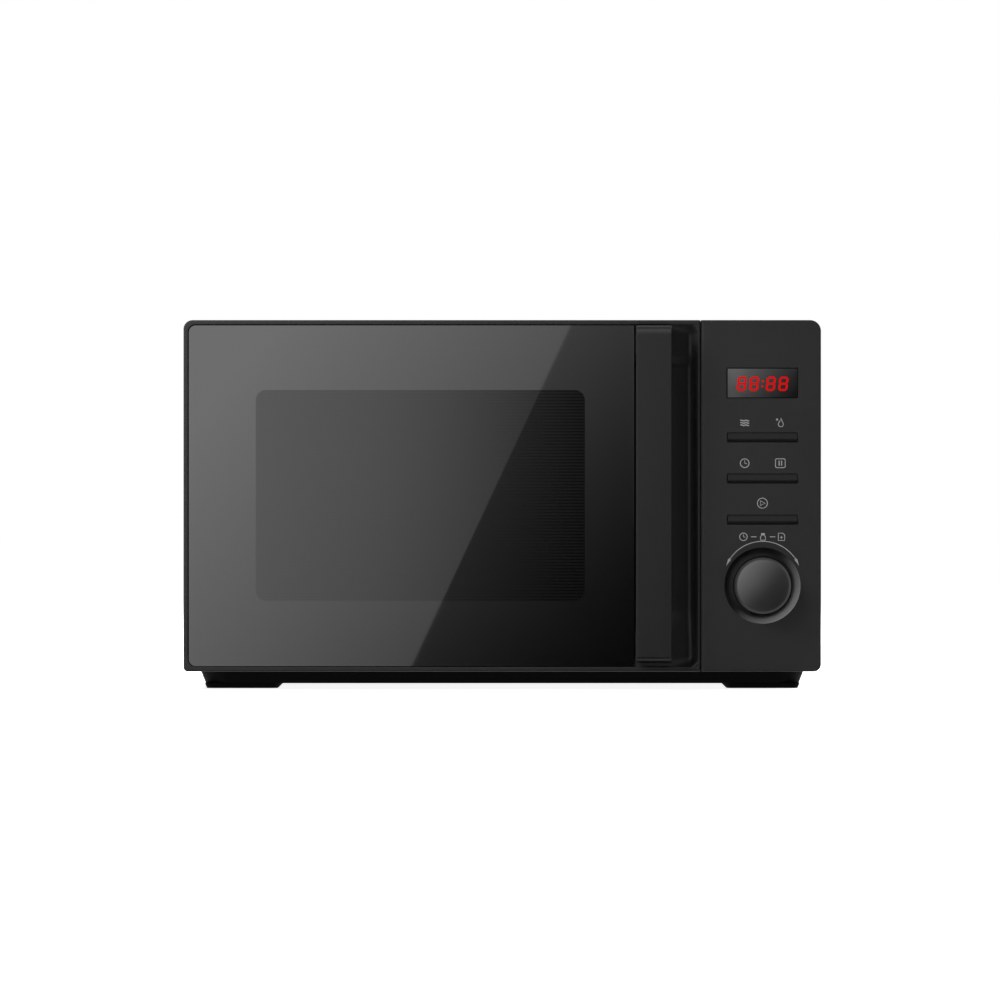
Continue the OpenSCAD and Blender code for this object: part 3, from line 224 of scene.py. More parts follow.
def plated_steel(name, colour):
    """Zinc-plated sheet: spangle patches and faint rolling lines."""
    colour = [c * 0.5 for c in colour[:3]]
    f = Finish(name, colour, 0.38, metal=1.0)
    f.tint(f.cells(0.009), 0.25, [c * 0.78 for c in colour[:3]])
    f.tint(f.noise(0.0008, 3, stretch=(30, 1, 1)), 0.15)
    f.gloss(f.noise(0.004, 4, stretch=(8, 1, 1)), 0.1)
    f.bump(f.noise(0.0006, 3, stretch=(40, 1, 1)), 0.000006, 0.6)
    return f


def bright_metal(name, colour, rough=0.3):
    f = Finish(name, colour, rough, metal=1.0)
    f.tint(f.noise(0.001, 3), 0.2)
    f.gloss(f.noise(0.0007, 3, stretch=(1, 6, 1)), 0.1)
    f.bump(f.noise(0.0004, 2), 0.000008, 0.5)
    return f


def dull_plastic(name, colour):
    f = Finish(name, colour, 0.55)
    f.tint(f.noise(0.015, 3), 0.12, [c * 0.8 for c in colour[:3]])
    f.gloss(f.noise(0.004, 3), 0.08)
    f.bump(f.noise(0.0006, 3), 0.00003, 0.6)
    return f


def rubber(name, colour):
    f = Finish(name, colour, 0.75, Specular_IOR_Level=0.06)
    f.tint(f.noise(0.002, 3), 0.3)
    f.gloss(f.noise(0.003, 2), 0.08)
    f.bump(f.noise(0.0005, 3), 0.00005, 0.8)
    return f


def laminations(name, colour):
    """Stacked varnished sheets."""
    f = Finish(name, colour, 0.45, metal=0.8)
    f.tint(f.noise(0.0006, 2, stretch=(60, 60, 1)), 0.6)
    f.bump(f.noise(0.0006, 1, stretch=(60, 60, 1)), 0.00008)
    return f


def winding(name, colour):
    """Varnished wire in layers."""
    f = Finish(name, colour, 0.28, metal=0.9)
    f.tint(f.noise(0.001, 2, stretch=(40, 40, 1)), 0.5)
    f.bump(f.noise(0.0011, 1, stretch=(60, 60, 1)), 0.0003)
    return f


def circuit(name, colour):
    f = Finish(name, colour, 0.4)
    f.tint(f.cells(0.0035), 0.7, [c * 2.2 for c in colour[:3]])
    f.bump(f.cells(0.0035), 0.00003)
    return f


def clear_glass(name, colour, rough, **constants):
    f = Finish(name, colour, rough, Transmission_Weight=1.0, IOR=1.5, **constants)
    f.gloss(f.noise(0.01, 2), 0.01)
    f.bump(f.noise(0.03, 1), 0.00001, 0.2)
    return f


def black_glass(name, base, spec):
    """Glass printed black on its back: a mirror gloss over black."""
    f = Finish(name, base, 0.015, Specular_IOR_Level=spec)
    f.tint(f.noise(0.05, 2), 0.1)
    f.bump(f.noise(0.09, 1), 0.00001, 0.15)
    return f


MAKERS = {
    "painted_metal": powder_coat,
    "rubber": rubber,
    "brushed_steel": plated_steel,
    "matte_plastic": dull_plastic,
    "aluminium": bright_metal,
    "brass": bright_metal,
    "gloss_plastic": lambda name, colour: moulding(name, colour, 0.38),
}
PLASTIC = (0.024, 0.024, 0.0244)
SPECIAL = {
    "case_black": lambda n: powder_coat(n, (0.02, 0.02, 0.021), 0.5, 0.25),
    "pan_black": lambda n: powder_coat(n, (0.002, 0.002, 0.002), 0.6, 0.06),
    "foot_rubber": lambda n: rubber(n, (0.002, 0.002, 0.002)),
    "front_plastic": lambda n: moulding(n, (0.016, 0.016, 0.0163), 0.34, spec=0.1),
    "panel_plastic": lambda n: moulding(n, PLASTIC, 0.32, spec=0.05),
    "handle_plastic": lambda n: moulding(n, (0.011, 0.011, 0.0112), 0.25, spec=0.17),
    "knob_plastic": lambda n: moulding(n, (0.01, 0.01, 0.0102), 0.4, spec=0.55),
    "key_plastic": lambda n: moulding(n, (0.012, 0.012, 0.0123), 0.36, spec=0.06),
    "cavity_enamel": lambda n: enamel(n, (0.5, 0.51, 0.5), 0.35),
    "front_plate_black": lambda n: enamel(n, (0.03, 0.03, 0.031), 0.3),
    "screen_black": lambda n: enamel(n, (0.03, 0.03, 0.03), 0.4),
    "laminated_steel": lambda n: laminations(n, (0.2, 0.19, 0.185)),
    "copper": lambda n: winding(n, (0.55, 0.22, 0.1)),
    "circuit_green": lambda n: circuit(n, (0.03, 0.14, 0.06)),
    "lamp_glass": lambda n: clear_glass(n, (0.95, 0.93, 0.88), 0.4),
    "turntable_glass": lambda n: clear_glass(n, (0.93, 0.97, 0.96), 0.03),
    "pane_clear": lambda n: clear_glass(n, (0.5, 0.5, 0.51), 0.05),
    "screw_steel": lambda n: bright_metal(n, (0.5, 0.5, 0.51), 0.32),
    "spring_steel": lambda n: bright_metal(n, (0.6, 0.6, 0.6), 0.25),
}
made_finishes = {}


def finish(slot):
    """The material of a record slot, made once."""
    if slot not in made_finishes:
        if slot in SPECIAL:
            made = SPECIAL[slot](slot)
        else:
            info = slot_info[slot]
            made = MAKERS[info["class"]](slot, tuple(info["base_color"][:3]))
        made_finishes[slot] = made.material
    return made_finishes[slot]


# ---- mesh building ----

class Piece:
    """Collects points and faces in millimetres, then becomes one object on a body."""

    def __init__(self):
        self.bm = bmesh.new()

    def points(self, places):
        return [self.bm.verts.new((x * MM, y * MM, z * MM)) for x, y, z in places]

    def face(self, corners, material=0):
        corners = [v for i, v in enumerate(corners) if v is not corners[i - 1]]
        if len(corners) > 2:
            made = self.bm.faces.new(corners)
            made.material_index = material

    def band(self, a, b, material=0, closed=True):
        count = len(a)
        for i in range(count if closed else count - 1):
            j = (i + 1) % count
            self.face([a[i], a[j], b[j], b[i]], material)

    def loft(self, rings, materials=None, start=False, end=False, around=False):
        """Joins rings of the same count one after another. start and end close the first and the last."""
        rings = [self.points(r) for r in rings]
        if around:
            rings.append(rings[0])
        for i in range(len(rings) - 1):
            self.band(rings[i], rings[i + 1], materials[i] if materials else 0)
        if start:
            self.face(rings[0], materials[0] if materials else 0)
        if end:
            self.face(rings[-1], materials[-1] if materials else 0)
        return rings

    def plate(self, outer, holes):
        """Flat face at one depth between an outline and the holes in it."""
        loops = [outer, *holes]
        flat = [Vector((p[0], p[2])) for loop in loops for p in loop]
        shapes = []
        first = 0
        for loop in loops:
            shapes.append(list(range(first, first + len(loop))))
            first += len(loop)
        depth = outer[0][1]
        leave_holes_open = 5
        verts, _, faces, *_ = delaunay_2d_cdt(flat, [], shapes, leave_holes_open, 1e-4)
        made = self.points([(v.x, depth, v.y) for v in verts])
        for f in faces:
            self.face([made[i] for i in f])

    def turned(self, centre, profile, steps, axis="y"):
        """Profile of (radius, height) turned round an axis through centre."""
        rings = []
        for radius, height in profile:
            ring = []
            for i in range(steps):
                a = TAU * i / steps
                u, v = radius * math.cos(a), radius * math.sin(a)
                ring.append((centre[0] + u, height, centre[2] + v) if axis == "y" else
                            (centre[0] + u, centre[1] + v, height))
            rings.append(ring)
        self.loft(rings)

    def grid(self, xs, zs, depth):
        """Sheet over a grid in X and Z at depth(x, z)."""
        rows = [self.points([(x, depth(x, z), z) for x in xs]) for z in zs]
        for low, high in zip(rows, rows[1:]):
            self.band(low, high, 0, closed=False)
        return rows

    def done(self, name, body, slot, finishes=None, stands_for=(), sharp=38, bevel=0.0, segments=2):
        bmesh.ops.remove_doubles(self.bm, verts=self.bm.verts, dist=1e-7)
        bmesh.ops.recalc_face_normals(self.bm, faces=self.bm.faces)
        mesh = bpy.data.meshes.new(name)
        self.bm.to_mesh(mesh)
        self.bm.free()
        obj = bpy.data.objects.new(name, mesh)
        bpy.context.scene.collection.objects.link(obj)
        for material in finishes or [finish(slot)]:
            obj.data.materials.append(material)
        settle(obj, sharp, bevel, segments)
        return place(obj, body, stands_for)


def settle(obj, sharp, bevel, segments):
    """Rounds edges by bevel millimetres, then shades smooth with crisp creases."""
    if bevel:
        rounding = obj.modifiers.new("rounding", "BEVEL")
        rounding.width = bevel * MM
        rounding.segments = segments
        rounding.limit_method = "ANGLE"
        rounding.angle_limit = math.radians(30)
        graph = bpy.context.evaluated_depsgraph_get()
        rounded = bpy.data.meshes.new_from_object(obj.evaluated_get(graph))
        rounded.name = obj.name
        obj.modifiers.clear()
        obj.data = rounded
        sharp = 55
    obj.data.shade_smooth()
    obj.data.set_sharp_from_angle(angle=math.radians(sharp))
    weigh = obj.modifiers.new("weighting", "WEIGHTED_NORMAL")
    weigh.keep_sharp = True


def place(obj, body, stands_for):
    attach(obj, body)
    if stands_for:
        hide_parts(*stands_for)
    return obj


def refined(node, bevel):
    """The CAD node's own shape with its edges rounded off, in its finish."""
    bm = bmesh.new()
    bm.from_mesh(frame["nodes"][node].data)
    bmesh.ops.remove_doubles(bm, verts=bm.verts, dist=WELD)
    bmesh.ops.dissolve_limit(bm, angle_limit=math.radians(0.6), verts=bm.verts, edges=bm.edges)
    piece = Piece()
    piece.bm.free()
    piece.bm = bm
    for f in bm.faces:
        f.material_index = 0
    piece.done(node + "_finished", body_of_node[node], slot_of_node[node], stands_for=[node], bevel=bevel)


def corner_arc(cx, cz, r, start, steps):
    turns = [start + math.pi / 2 * i / steps for i in range(steps + 1)]
    return [(cx + r * math.cos(a), cz + r * math.sin(a)) for a in turns]


def outline(x0, x1, z0, z1, radii, y, inset=0.0, steps=8):
    """Rounded rectangle at depth y, drawn in by inset. Its radii go anticlockwise from the bottom left."""
    radii = [max(r - inset, 0.12) for r in (radii if isinstance(radii, (list, tuple)) else [radii] * 4)]
    x0, x1, z0, z1 = x0 + inset, x1 - inset, z0 + inset, z1 - inset
    flat = (corner_arc(x0 + radii[0], z0 + radii[0], radii[0], math.pi, steps)
            + corner_arc(x1 - radii[1], z0 + radii[1], radii[1], -math.pi / 2, steps)
            + corner_arc(x1 - radii[2], z1 - radii[2], radii[2], 0, steps)
            + corner_arc(x0 + radii[3], z1 - radii[3], radii[3], math.pi / 2, steps))
    return [(x, y, z) for x, z in flat]


def lip(radius, steps=3):
    """How far in and how deep the points of a quarter round lie, from the side wall to the face."""
    return [(radius * (1 - math.cos(math.pi / 2 * i / steps)), radius * (1 - math.sin(math.pi / 2 * i / steps)))
            for i in range(steps + 1)]


def ease(t):
    t = min(1.0, max(0.0, t))
    return t * t * (3 - 2 * t)


# ---- camera, world, lamps ----

camera = bpy.data.objects.new("camera", bpy.data.cameras.new("camera"))
bpy.context.scene.collection.objects.link(camera)
camera.data.lens = LENS
camera.data.sensor_width = SENSOR
camera.data.clip_end = 100
camera.location = (AXIS_X * MM, (door.y0 - camera_gap) * MM, AXIS_Z * MM)
camera.rotation_euler = (math.radians(90), 0, 0)
bpy.context.scene.camera = camera
bpy.context.scene.view_settings.view_transform = "Standard"

AMBIENT = 0.14


def seen_white(tree):
    """1 for a ray from the camera, off gloss or through glass, which see plain white."""
    path = tree.nodes.new("ShaderNodeLightPath")
    total = path.outputs["Is Camera Ray"]
    for name in ("Is Glossy Ray", "Is Transmission Ray"):
        either = tree.nodes.new("ShaderNodeMath")
        either.operation = "MAXIMUM"
        tree.links.new(total, either.inputs[0])
        tree.links.new(path.outputs[name], either.inputs[1])
        total = either.outputs[0]
    return total


world = bpy.data.worlds.new("studio")
bpy.context.scene.world = world
world.use_nodes = True
background = world.node_tree.nodes["Background"]
background.inputs["Color"].default_value = (1, 1, 1, 1)
level = world.node_tree.nodes.new("ShaderNodeMapRange")
level.inputs["To Min"].default_value = AMBIENT
level.inputs["To Max"].default_value = 1.0
world.node_tree.links.new(seen_white(world.node_tree), level.inputs["Value"])
world.node_tree.links.new(level.outputs["Result"], background.inputs["Strength"])


def lamp(name, where, aim, size, power):
    light = bpy.data.lights.new(name, "AREA")
    light.shape = "RECTANGLE"
    light.size, light.size_y = size
    light.energy = power
    obj = bpy.data.objects.new(name, light)
    bpy.context.scene.collection.objects.link(obj)
    obj.location = where
    obj.rotation_mode = "QUATERNION"
    obj.rotation_quaternion = (Vector(aim) - Vector(where)).to_track_quat("-Z", "Y")
    obj.visible_glossy = False


lamp("key_lamp", (-0.44, -0.46, 0.62), (-0.1, -0.16, 0.17), (0.36, 0.36), 9.0)
lamp("back_lamp", (0.9, 1.6, 1.3), (0, 0.1, 0.13), (1.4, 1.4), 70)
lamp("side_lamp", (1.9, 0.3, 1.0), (0.1, 0.1, 0.12), (1.0, 1.0), 26)


def stage_plane(name, corners):
    mesh = bpy.data.meshes.new(name)
    mesh.from_pydata(corners, [], [(0, 1, 2, 3)])
    obj = bpy.data.objects.new(name, mesh)
    bpy.context.scene.collection.objects.link(obj)
    return obj


reach = 12.0
FLOOR_SHINE = 0.9
floor = stage_plane("floor", [(-reach, -reach, 0), (reach, -reach, 0), (reach, reach, 0), (-reach, reach, 0)])
floor_look = bpy.data.materials.new("floor")
floor_look.use_nodes = True
tree = floor_look.node_tree
ground = tree.nodes["Principled BSDF"]
socket(ground, "Base Color", (0.8, 0.8, 0.8, 1))
socket(ground, "Roughness", 0.9)
socket(ground, "Specular IOR Level", 0.0)
socket(ground, "Emission Color", (1, 1, 1, 1))
shine = tree.nodes.new("ShaderNodeMath")
shine.operation = "MULTIPLY"
shine.inputs[1].default_value = FLOOR_SHINE
tree.links.new(seen_white(tree), shine.inputs[0])
tree.links.new(shine.outputs[0], ground.inputs["Emission Strength"])
floor.data.materials.append(floor_look)
floor.visible_glossy = False


# ---- the studio card that the front glass mirrors ----
# It stands behind the camera, and only reflections see it: a bright panel to the left of a slanting edge,
# dark to the right. Its own coordinates are metres on the glass, measured from the camera's axis.

card_y = door.y0 * MM - camera_gap * MM - 0.2
card_scale = 1 + (door.y0 * MM - card_y) / (camera_gap * MM)
half = 2.2
card = stage_plane("studio_card", [(-half, 0, -half), (half, 0, -half), (half, 0, half), (-half, 0, half)])
card.location = (AXIS_X * MM, card_y, AXIS_Z * MM)
card.scale = (card_scale, 1, card_scale)
card.visible_camera = False
card.visible_diffuse = False
card.visible_shadow = False
card.visible_transmission = False
card_look = Finish("studio_card", (0, 0, 0), 1.0, Specular_IOR_Level=0.0, Emission_Color=(1, 1, 1, 1))
card_x, card_z = card_look.axis("X"), card_look.axis("Z")


def plane_of(constant, along_x, along_z):
    """constant + along_x * x + along_z * z on the card."""
    first = card_look.math("MULTIPLY_ADD", card_x, along_x)
    first.node.inputs[2].default_value = constant
    second = card_look.math("MULTIPLY_ADD", card_z, along_z)
    card_look.links.new(first, second.node.inputs[2])
    return second


def squared_ramp(constant, along_x, along_z, most):
    """The square of a plane on the card, from 0 up to most."""
    ramp = card_look.math("MAXIMUM", plane_of(constant, along_x, along_z), 0.0)
    return card_look.math("MINIMUM", card_look.math("MULTIPLY", ramp, ramp), most)


BRIGHT_LEAST, BRIGHT_MOST, DARK_MOST = 0.3, 3.66, 1.2
bright = card_look.math("MAXIMUM", plane_of(1.55, -8.3, 6.7), BRIGHT_LEAST)
bright = card_look.math("MINIMUM", bright, BRIGHT_MOST)
dark = squared_ramp(0.745, -3.4, 3.4, DARK_MOST)
edge = card_look.math("LESS_THAN", plane_of(0.0073, 1.0, -0.4664), 0.0)
pattern = card_look.nodes.new("ShaderNodeMix")
card_look.links.new(edge, pattern.inputs["Factor"])
card_look.links.new(dark, pattern.inputs["A"])
card_look.links.new(bright, pattern.inputs["B"])

# The pattern fills what the glass mirrors. Round it the card is dim, with a soft glow far to the upper left.
away_x = card_look.math("ABSOLUTE", plane_of(0.0, 1.0, 0.0))
away_z = card_look.math("ABSOLUTE", plane_of(0.0, 0.0, 1.0))
beside = card_look.spread(away_x, 0.0, 1.0, 0.225, 0.4)
beyond = card_look.spread(away_z, 0.0, 1.0, 0.135, 0.25)
outside = card_look.math("MAXIMUM", beside, beyond)
to_upper_left = plane_of(0.0, -0.75, 0.66)
glow = card_look.spread(to_upper_left, 0.0, 4.2, -0.3, 1.35)


def blended(factor, a, b):
    mix = card_look.nodes.new("ShaderNodeMix")
    card_look.links.new(factor, mix.inputs["Factor"])
    card_look.links.new(a, mix.inputs["A"])
    card_look.links.new(b, mix.inputs["B"])
    return mix.outputs["Result"]


surround = blended(outside, pattern.outputs["Result"], glow)
# What the display window mirrors: a smaller panel, fading to the lower right
lens_x = (lens.cx - AXIS_X) * MM
lens_z = (lens.cz - AXIS_Z) * MM
display_ramp = squared_ramp(1.03 + 7.5 * lens_x - 3.4 * lens_z, -7.5, 3.4, 3.6)
off_x = card_look.math("ABSOLUTE", plane_of(-lens_x, 1.0, 0.0))
off_z = card_look.math("ABSOLUTE", plane_of(-lens_z, 0.0, 1.0))
off_display = card_look.math("MAXIMUM", card_look.spread(off_x, 0.0, 1.0, 0.065, 0.09),
                             card_look.spread(off_z, 0.0, 1.0, 0.07, 0.1))
shown = blended(off_display, display_ramp, surround)
card_look.links.new(shown, card_look.bsdf.inputs["Emission Strength"])
card.data.materials.append(card_look.material)


# ---- door: frame with the smooth scoop ----

door_radii = [3.0, 0.8, 0.8, 6.2]
face_y = door.y0
open_x0 = glass.x0 - 0.25
open_x1 = door.x1 - 1.6
open_z0 = glass.z0 - 0.25
open_z1 = glass.z1 + 0.25
open_radii = [5.25, 1.5, 5.0, 5.25]
wall = 3.0
OPENING_LIP = 0.45


def door_ring(y, inset):
    return outline(door.x0, door.x1, door.z0, door.z1, door_radii, y, inset)


def opening_ring(y, grow=0.0):
    return outline(open_x0, open_x1, open_z0, open_z1, open_radii, y, -grow)


body_rings = [door_ring(door.y1, 0.0)]
body_rings += [door_ring(face_y + down, inset) for inset, down in lip(EDGE_ROUND, 4)]
body_rings += [opening_ring(face_y + down, inset) for inset, down in reversed(lip(OPENING_LIP))]
body_rings += [opening_ring(face_y + 8.5)]
body_rings += [door_ring(face_y + 10, wall), door_ring(door.y1, wall)]
frame_piece = Piece()
frame_piece.loft(body_rings, around=True)

# Scoop beside the handle: it slopes down away from the handle to a valley, then sweeps up to the door's
# edge, and the finger pocket sinks behind the handle
valley_x = open_x1 - 5.6
pocket_z0, pocket_z1 = handle.z0 + 22, handle.z1 - 21.6
SCOOP = 7.0
POCKET = 13.0


def scoop_depth(x, z):
    """How deep the surface lies under the door's face."""
    right = open_x1 - x
    ends = min(z - open_z0, open_z1 - z)
    corner, rise_over = 7.0, 7.5
    if right < corner and ends < corner:
        edge_distance = corner - math.hypot(corner - right, corner - ends)
    else:
        edge_distance = min(right, ends)
    rise = 1 - (1 - min(1.0, max(0.0, edge_distance) / rise_over)) ** 2.2
    to_valley = min(1.0, (valley_x - x) / (valley_x - handle.x1 + 2))
    depth = SCOOP * (1 - 0.7 * to_valley) * rise
    shelf = SCOOP + 2.2 * max(0.0, (x - handle.x1 - 2) / (valley_x - handle.x1 - 2)) ** 1.5
    shelf += (POCKET - SCOOP) * ease((handle.x1 + 1 - x) / 16)
    along_z = ease((z - pocket_z0 + 8) / 24) * ease((pocket_z1 + 3 - z) / 10)
    return depth + (shelf * rise - depth) * along_z


def spaced(stops, steps):
    """Places from the first stop to the last, in even steps of about the size given for each stretch."""
    places = [stops[0]]
    for a, b, step in zip(stops, stops[1:], steps):
        count = max(2, round((b - a) / step))
        places += [a + (b - a) * i / count for i in range(1, count + 1)]
    return places


scoop_x0 = glass.x1 + 0.35
grid_x = spaced([scoop_x0, handle.x1 - 2, open_x1], [2.2, 0.7])
grid_z = spaced([open_z0, open_z0 + 12, pocket_z0 - 6, pocket_z0 + 12, pocket_z1 - 8, pocket_z1 + 6,
                 open_z1 - 12, open_z1], [0.8, 2.2, 0.9, 6, 0.7, 2, 0.8])
rows = frame_piece.grid(grid_x, grid_z, lambda x, z: face_y + 0.6 + scoop_depth(x, z))
floor_y = face_y + POCKET + 2.2
back_row = frame_piece.points([(x, floor_y, open_z0) for x in grid_x])
back_top = frame_piece.points([(x, floor_y, open_z1) for x in grid_x])
frame_piece.band(rows[0], back_row, closed=False)
frame_piece.band(rows[-1], back_top, closed=False)
sides = []
for end in (0, -1):
    between = frame_piece.points([(grid_x[end], floor_y, z) for z in grid_z[1:-1]])
    sides.append([back_row[end], *between, back_top[end]])
    frame_piece.band([r[end] for r in rows], sides[-1], closed=False)
frame_piece.face(sides[0] + back_top[1:-1] + sides[1][::-1] + back_row[-2:0:-1])
# Ledge that the glass sits on
LEDGE = 26
ledges = (((glass.x0 - 0.2, glass.x0 + LEDGE), (glass.z0, glass.z1)),
          ((glass.x1 - LEDGE, glass.x1 + 0.3), (glass.z0, glass.z1)),
          ((glass.x0, glass.x1), (glass.z0 - 0.2, glass.z0 + LEDGE)),
          ((glass.x0, glass.x1), (glass.z1 - LEDGE, glass.z1 + 0.2)))
for (x0, x1), (z0, z1) in ledges:
    frame_piece.loft([outline(x0, x1, z0, z1, 0.3, y, steps=1) for y in (glass.y1 + 0.02, glass.y1 + 2.2)],
                     start=True, end=True)
moulded = frame_piece.done("door_frame_moulding", "door", "front_plastic", stands_for=["door_frame"])


def cut_box(obj, low, high):
    """Takes a box away from a finished piece."""
    tool_mesh = bpy.data.meshes.new("cutter")
    tool = bmesh.new()
    size = [(b - a) * MM for a, b in zip(low, high)]
    centre = [(a + b) / 2 * MM for a, b in zip(low, high)]
    bmesh.ops.create_cube(tool, size=1.0, matrix=Matrix.LocRotScale(Vector(centre), None, Vector(size)))
    tool.to_mesh(tool_mesh)
    tool.free()
    cutter = bpy.data.objects.new("cutter", tool_mesh)
    bpy.context.scene.collection.objects.link(cutter)
    cut = obj.modifiers.new("cut", "BOOLEAN")
    cut.operation = "DIFFERENCE"
    cut.solver = "EXACT"
    cut.object = cutter
    done = bpy.data.meshes.new_from_object(obj.evaluated_get(bpy.context.evaluated_depsgraph_get()))
    done.name = obj.name
    obj.modifiers.clear()
    obj.data = done
    bpy.data.objects.remove(cutter)
    bpy.data.meshes.remove(tool_mesh)


# Notches that the hinge tabs swing through
pin_x, pin_y = (v / MM for v in door_pin[:2])
TAB_W, TAB_T, TAB_ROOM = 8.0, 2.0, 0.6
UPPER_TAB, LOWER_TAB, NOTCH_FRONT = 9.6, 7.0, 7.8
for tab_z in (door.z1 - UPPER_TAB, door.z0 + LOWER_TAB):
    cut_box(moulded, (door.x0 - 1, pin_y - NOTCH_FRONT, tab_z - TAB_ROOM),
            (pin_x + TAB_W / 2 + TAB_ROOM, door.y1 + 1, tab_z + TAB_T + TAB_ROOM))

# Strip under the handle's foot
strip = Piece()
strip_top = open_z0 + 3.0
strip.loft([outline(scoop_x0, handle.x1 + 0.6, open_z0 - 0.4, strip_top, 0.4, y, inset, steps=2)
            for y, inset in ((face_y + 8, 0), (face_y + 1.4, 0), (face_y + 1.1, 0.3))], end=True)
strip.done("handle_foot_strip", "door", "front_plastic")

# ---- door glass ----

WINDOW_LEFT = 49.9
WINDOW_DROP = 48.3
WINDOW_W = 227.1
WINDOW_H = 145.4
window_x0 = door.x0 + WINDOW_LEFT
window_x1 = window_x0 + WINDOW_W
window_z1 = door.z1 - WINDOW_DROP
window_z0 = window_z1 - WINDOW_H
glass_radii = [5.0, 0.6, 0.6, 5.0]
MESH_PITCH = 2.15

printed = black_glass("door_glass_printed", (0.0032, 0.0032, 0.0034), 0.5).material
see = black_glass("door_glass_window", (0.0, 0.0, 0.0), 0.0)
# Painted reflection: the coat weight is set by place on the window, so its mirror gloss is painted weaker
# towards the right and towards the top, weakest at the upper right
reflection_fade_start = (AXIS_X - 100) * MM
past_reflection_fade = see.math("MAXIMUM", see.math("SUBTRACT", see.axis("X"), reflection_fade_start), 0.0)
reflection_fade_right = see.math("MULTIPLY", see.math("MULTIPLY", past_reflection_fade, past_reflection_fade), -20.0)
painted_reflection_weight = see.math("MULTIPLY_ADD", see.axis("Z"), -1.2)
painted_reflection_weight.node.inputs[2].default_value = 0.76 + 1.2 * AXIS_Z * MM
see.links.new(see.math("ADD", reflection_fade_right, painted_reflection_weight, clamp=True), see.bsdf.inputs["Coat Weight"])
socket(see.bsdf, "Coat Roughness", 0.01)
socket(see.bsdf, "Coat IOR", 1.5)
# Painted light: faint lighter rows and dots in the window's colour stand in for the lit screen seen through the
# glass, with painted shade in the holes between them
row_pitch = MESH_PITCH * MM
phase = see.math("FRACT", see.math("DIVIDE", see.axis("Z"), row_pitch))
dots = see.math("FRACT", see.math("DIVIDE", see.axis("X"), row_pitch * 0.8))
line = see.math("SMOOTH_MIN", see.spread(phase, 0, 1, 0.12, 0.3), see.spread(phase, 1, 0, 0.72, 0.9))
line.node.inputs[2].default_value = 0.1
perforation = see.spread(see.math("PINGPONG", dots, 0.5), 0.72, 1.0, 0.1, 0.3)
painted_screen_light = see.nodes.new("ShaderNodeMix")
painted_screen_light.data_type = "RGBA"
painted_screen_light.inputs["A"].default_value = (0.0003, 0.0003, 0.0003, 1)
painted_screen_light.inputs["B"].default_value = (0.005, 0.005, 0.0052, 1)
see.links.new(see.math("MULTIPLY", line, perforation), painted_screen_light.inputs["Factor"])
see.links.new(painted_screen_light.outputs["Result"], see.bsdf.inputs["Base Color"])

pane = Piece()


def glass_ring(y, inset):
    return outline(glass.x0, glass.x1, glass.z0, glass.z1, glass_radii, y, inset)


def window_ring(y):
    return outline(window_x0, window_x1, window_z0, window_z1, 7.0, y)


pane.loft([window_ring(glass.y1), glass_ring(glass.y1, 0.3), glass_ring(glass.y1 - 0.3, 0.0),
           glass_ring(glass.y0 + 0.35, 0.0), glass_ring(glass.y0, 0.35), window_ring(glass.y0)],
          materials=[0, 0, 0, 0, 0, 1], start=True, end=True)
pane.done("door_glass_pane", "door", "door_glass", [printed, see.material], stands_for=["door_glass"])

# ---- perforated screen behind the glass ----

mesh_rows = round((window_z1 - window_z0) / MESH_PITCH)
pitch_z = (window_z1 - window_z0 - 2) / mesh_rows
columns = 18
pitch_x = (window_x1 - window_x0 - 2) / columns
tie = 0.8
SHEET_T = 0.6
sheet = Piece()
lines_x = [screen.x0]
for i in range(columns):
    lines_x += [window_x0 + 1 + i * pitch_x + tie / 2, window_x0 + 1 + (i + 1) * pitch_x - tie / 2]
lines_x.append(screen.x1)
lines_z = [screen.z0]
for j in range(mesh_rows):
    lines_z += [window_z0 + 1 + (j + 0.25) * pitch_z, window_z0 + 1 + (j + 0.75) * pitch_z]
lines_z.append(screen.z1)
for y in (screen.y0, screen.y0 + SHEET_T):
    lattice = [sheet.points([(x, y, z) for x in lines_x]) for z in lines_z]
    for j in range(len(lines_z) - 1):
        for i in range(len(lines_x) - 1):
            if not (i % 2 and j % 2):
                sheet.face([lattice[j][i], lattice[j][i + 1], lattice[j + 1][i + 1], lattice[j + 1][i]])
rim = [outline(screen.x0, screen.x1, screen.z0, screen.z1, 0.5, y, inset, steps=1)
       for y, inset in ((screen.y0, 0), (screen.y1, 0), (screen.y1, 1.0), (screen.y0 + SHEET_T, 1.0))]
sheet.loft(rim)
sheet.done("door_screen_sheet", "door", "screen_black", stands_for=["door_screen"])

# ---- inner pane, on the oven's side of the screen ----

inner = Box("inner_window")
clear = Piece()
clear.loft([outline(inner.x0, inner.x1, inner.z0, inner.z1, 6.0, y, inset)
            for y, inset in ((inner.y0, 0.3), (inner.y0 + 0.3, 0.0), (inner.y1 - 0.3, 0.0), (inner.y1, 0.3))],
           start=True, end=True)
clear.done("inner_pane", "door", "pane_clear", stands_for=["inner_window"])

# ---- handle ----

bar_back = handle.y0 + 11
foot_y = handle.y1
foot_h = 22.0


def handle_profile(x):
    """Side view of the handle: rounded-over top, a tighter turn at the foot, a solid block at each end."""
    top, bottom = handle.z1, handle.z0
    crown_h, crown_d = 6.4, 3.6
    toe_h, toe_d = 2.6, 1.8
    places = [(foot_y, bottom), (handle.y0 + toe_d, bottom)]
    places += [(handle.y0 + toe_d * (1 - math.sin(a)), bottom + toe_h * (1 - math.cos(a)))
               for a in (math.pi / 2 * i / 5 for i in range(1, 6))]
    places += [(handle.y0 + crown_d * (1 - math.cos(a)), top - crown_h * (1 - math.sin(a)))
               for a in (math.pi / 2 * i / 8 for i in range(9))]
    places += [(foot_y, top), (foot_y, top - foot_h), (bar_back, top - foot_h), (bar_back, bottom + foot_h),
               (foot_y, bottom + foot_h)]
    return [(x, y, z) for y, z in places]


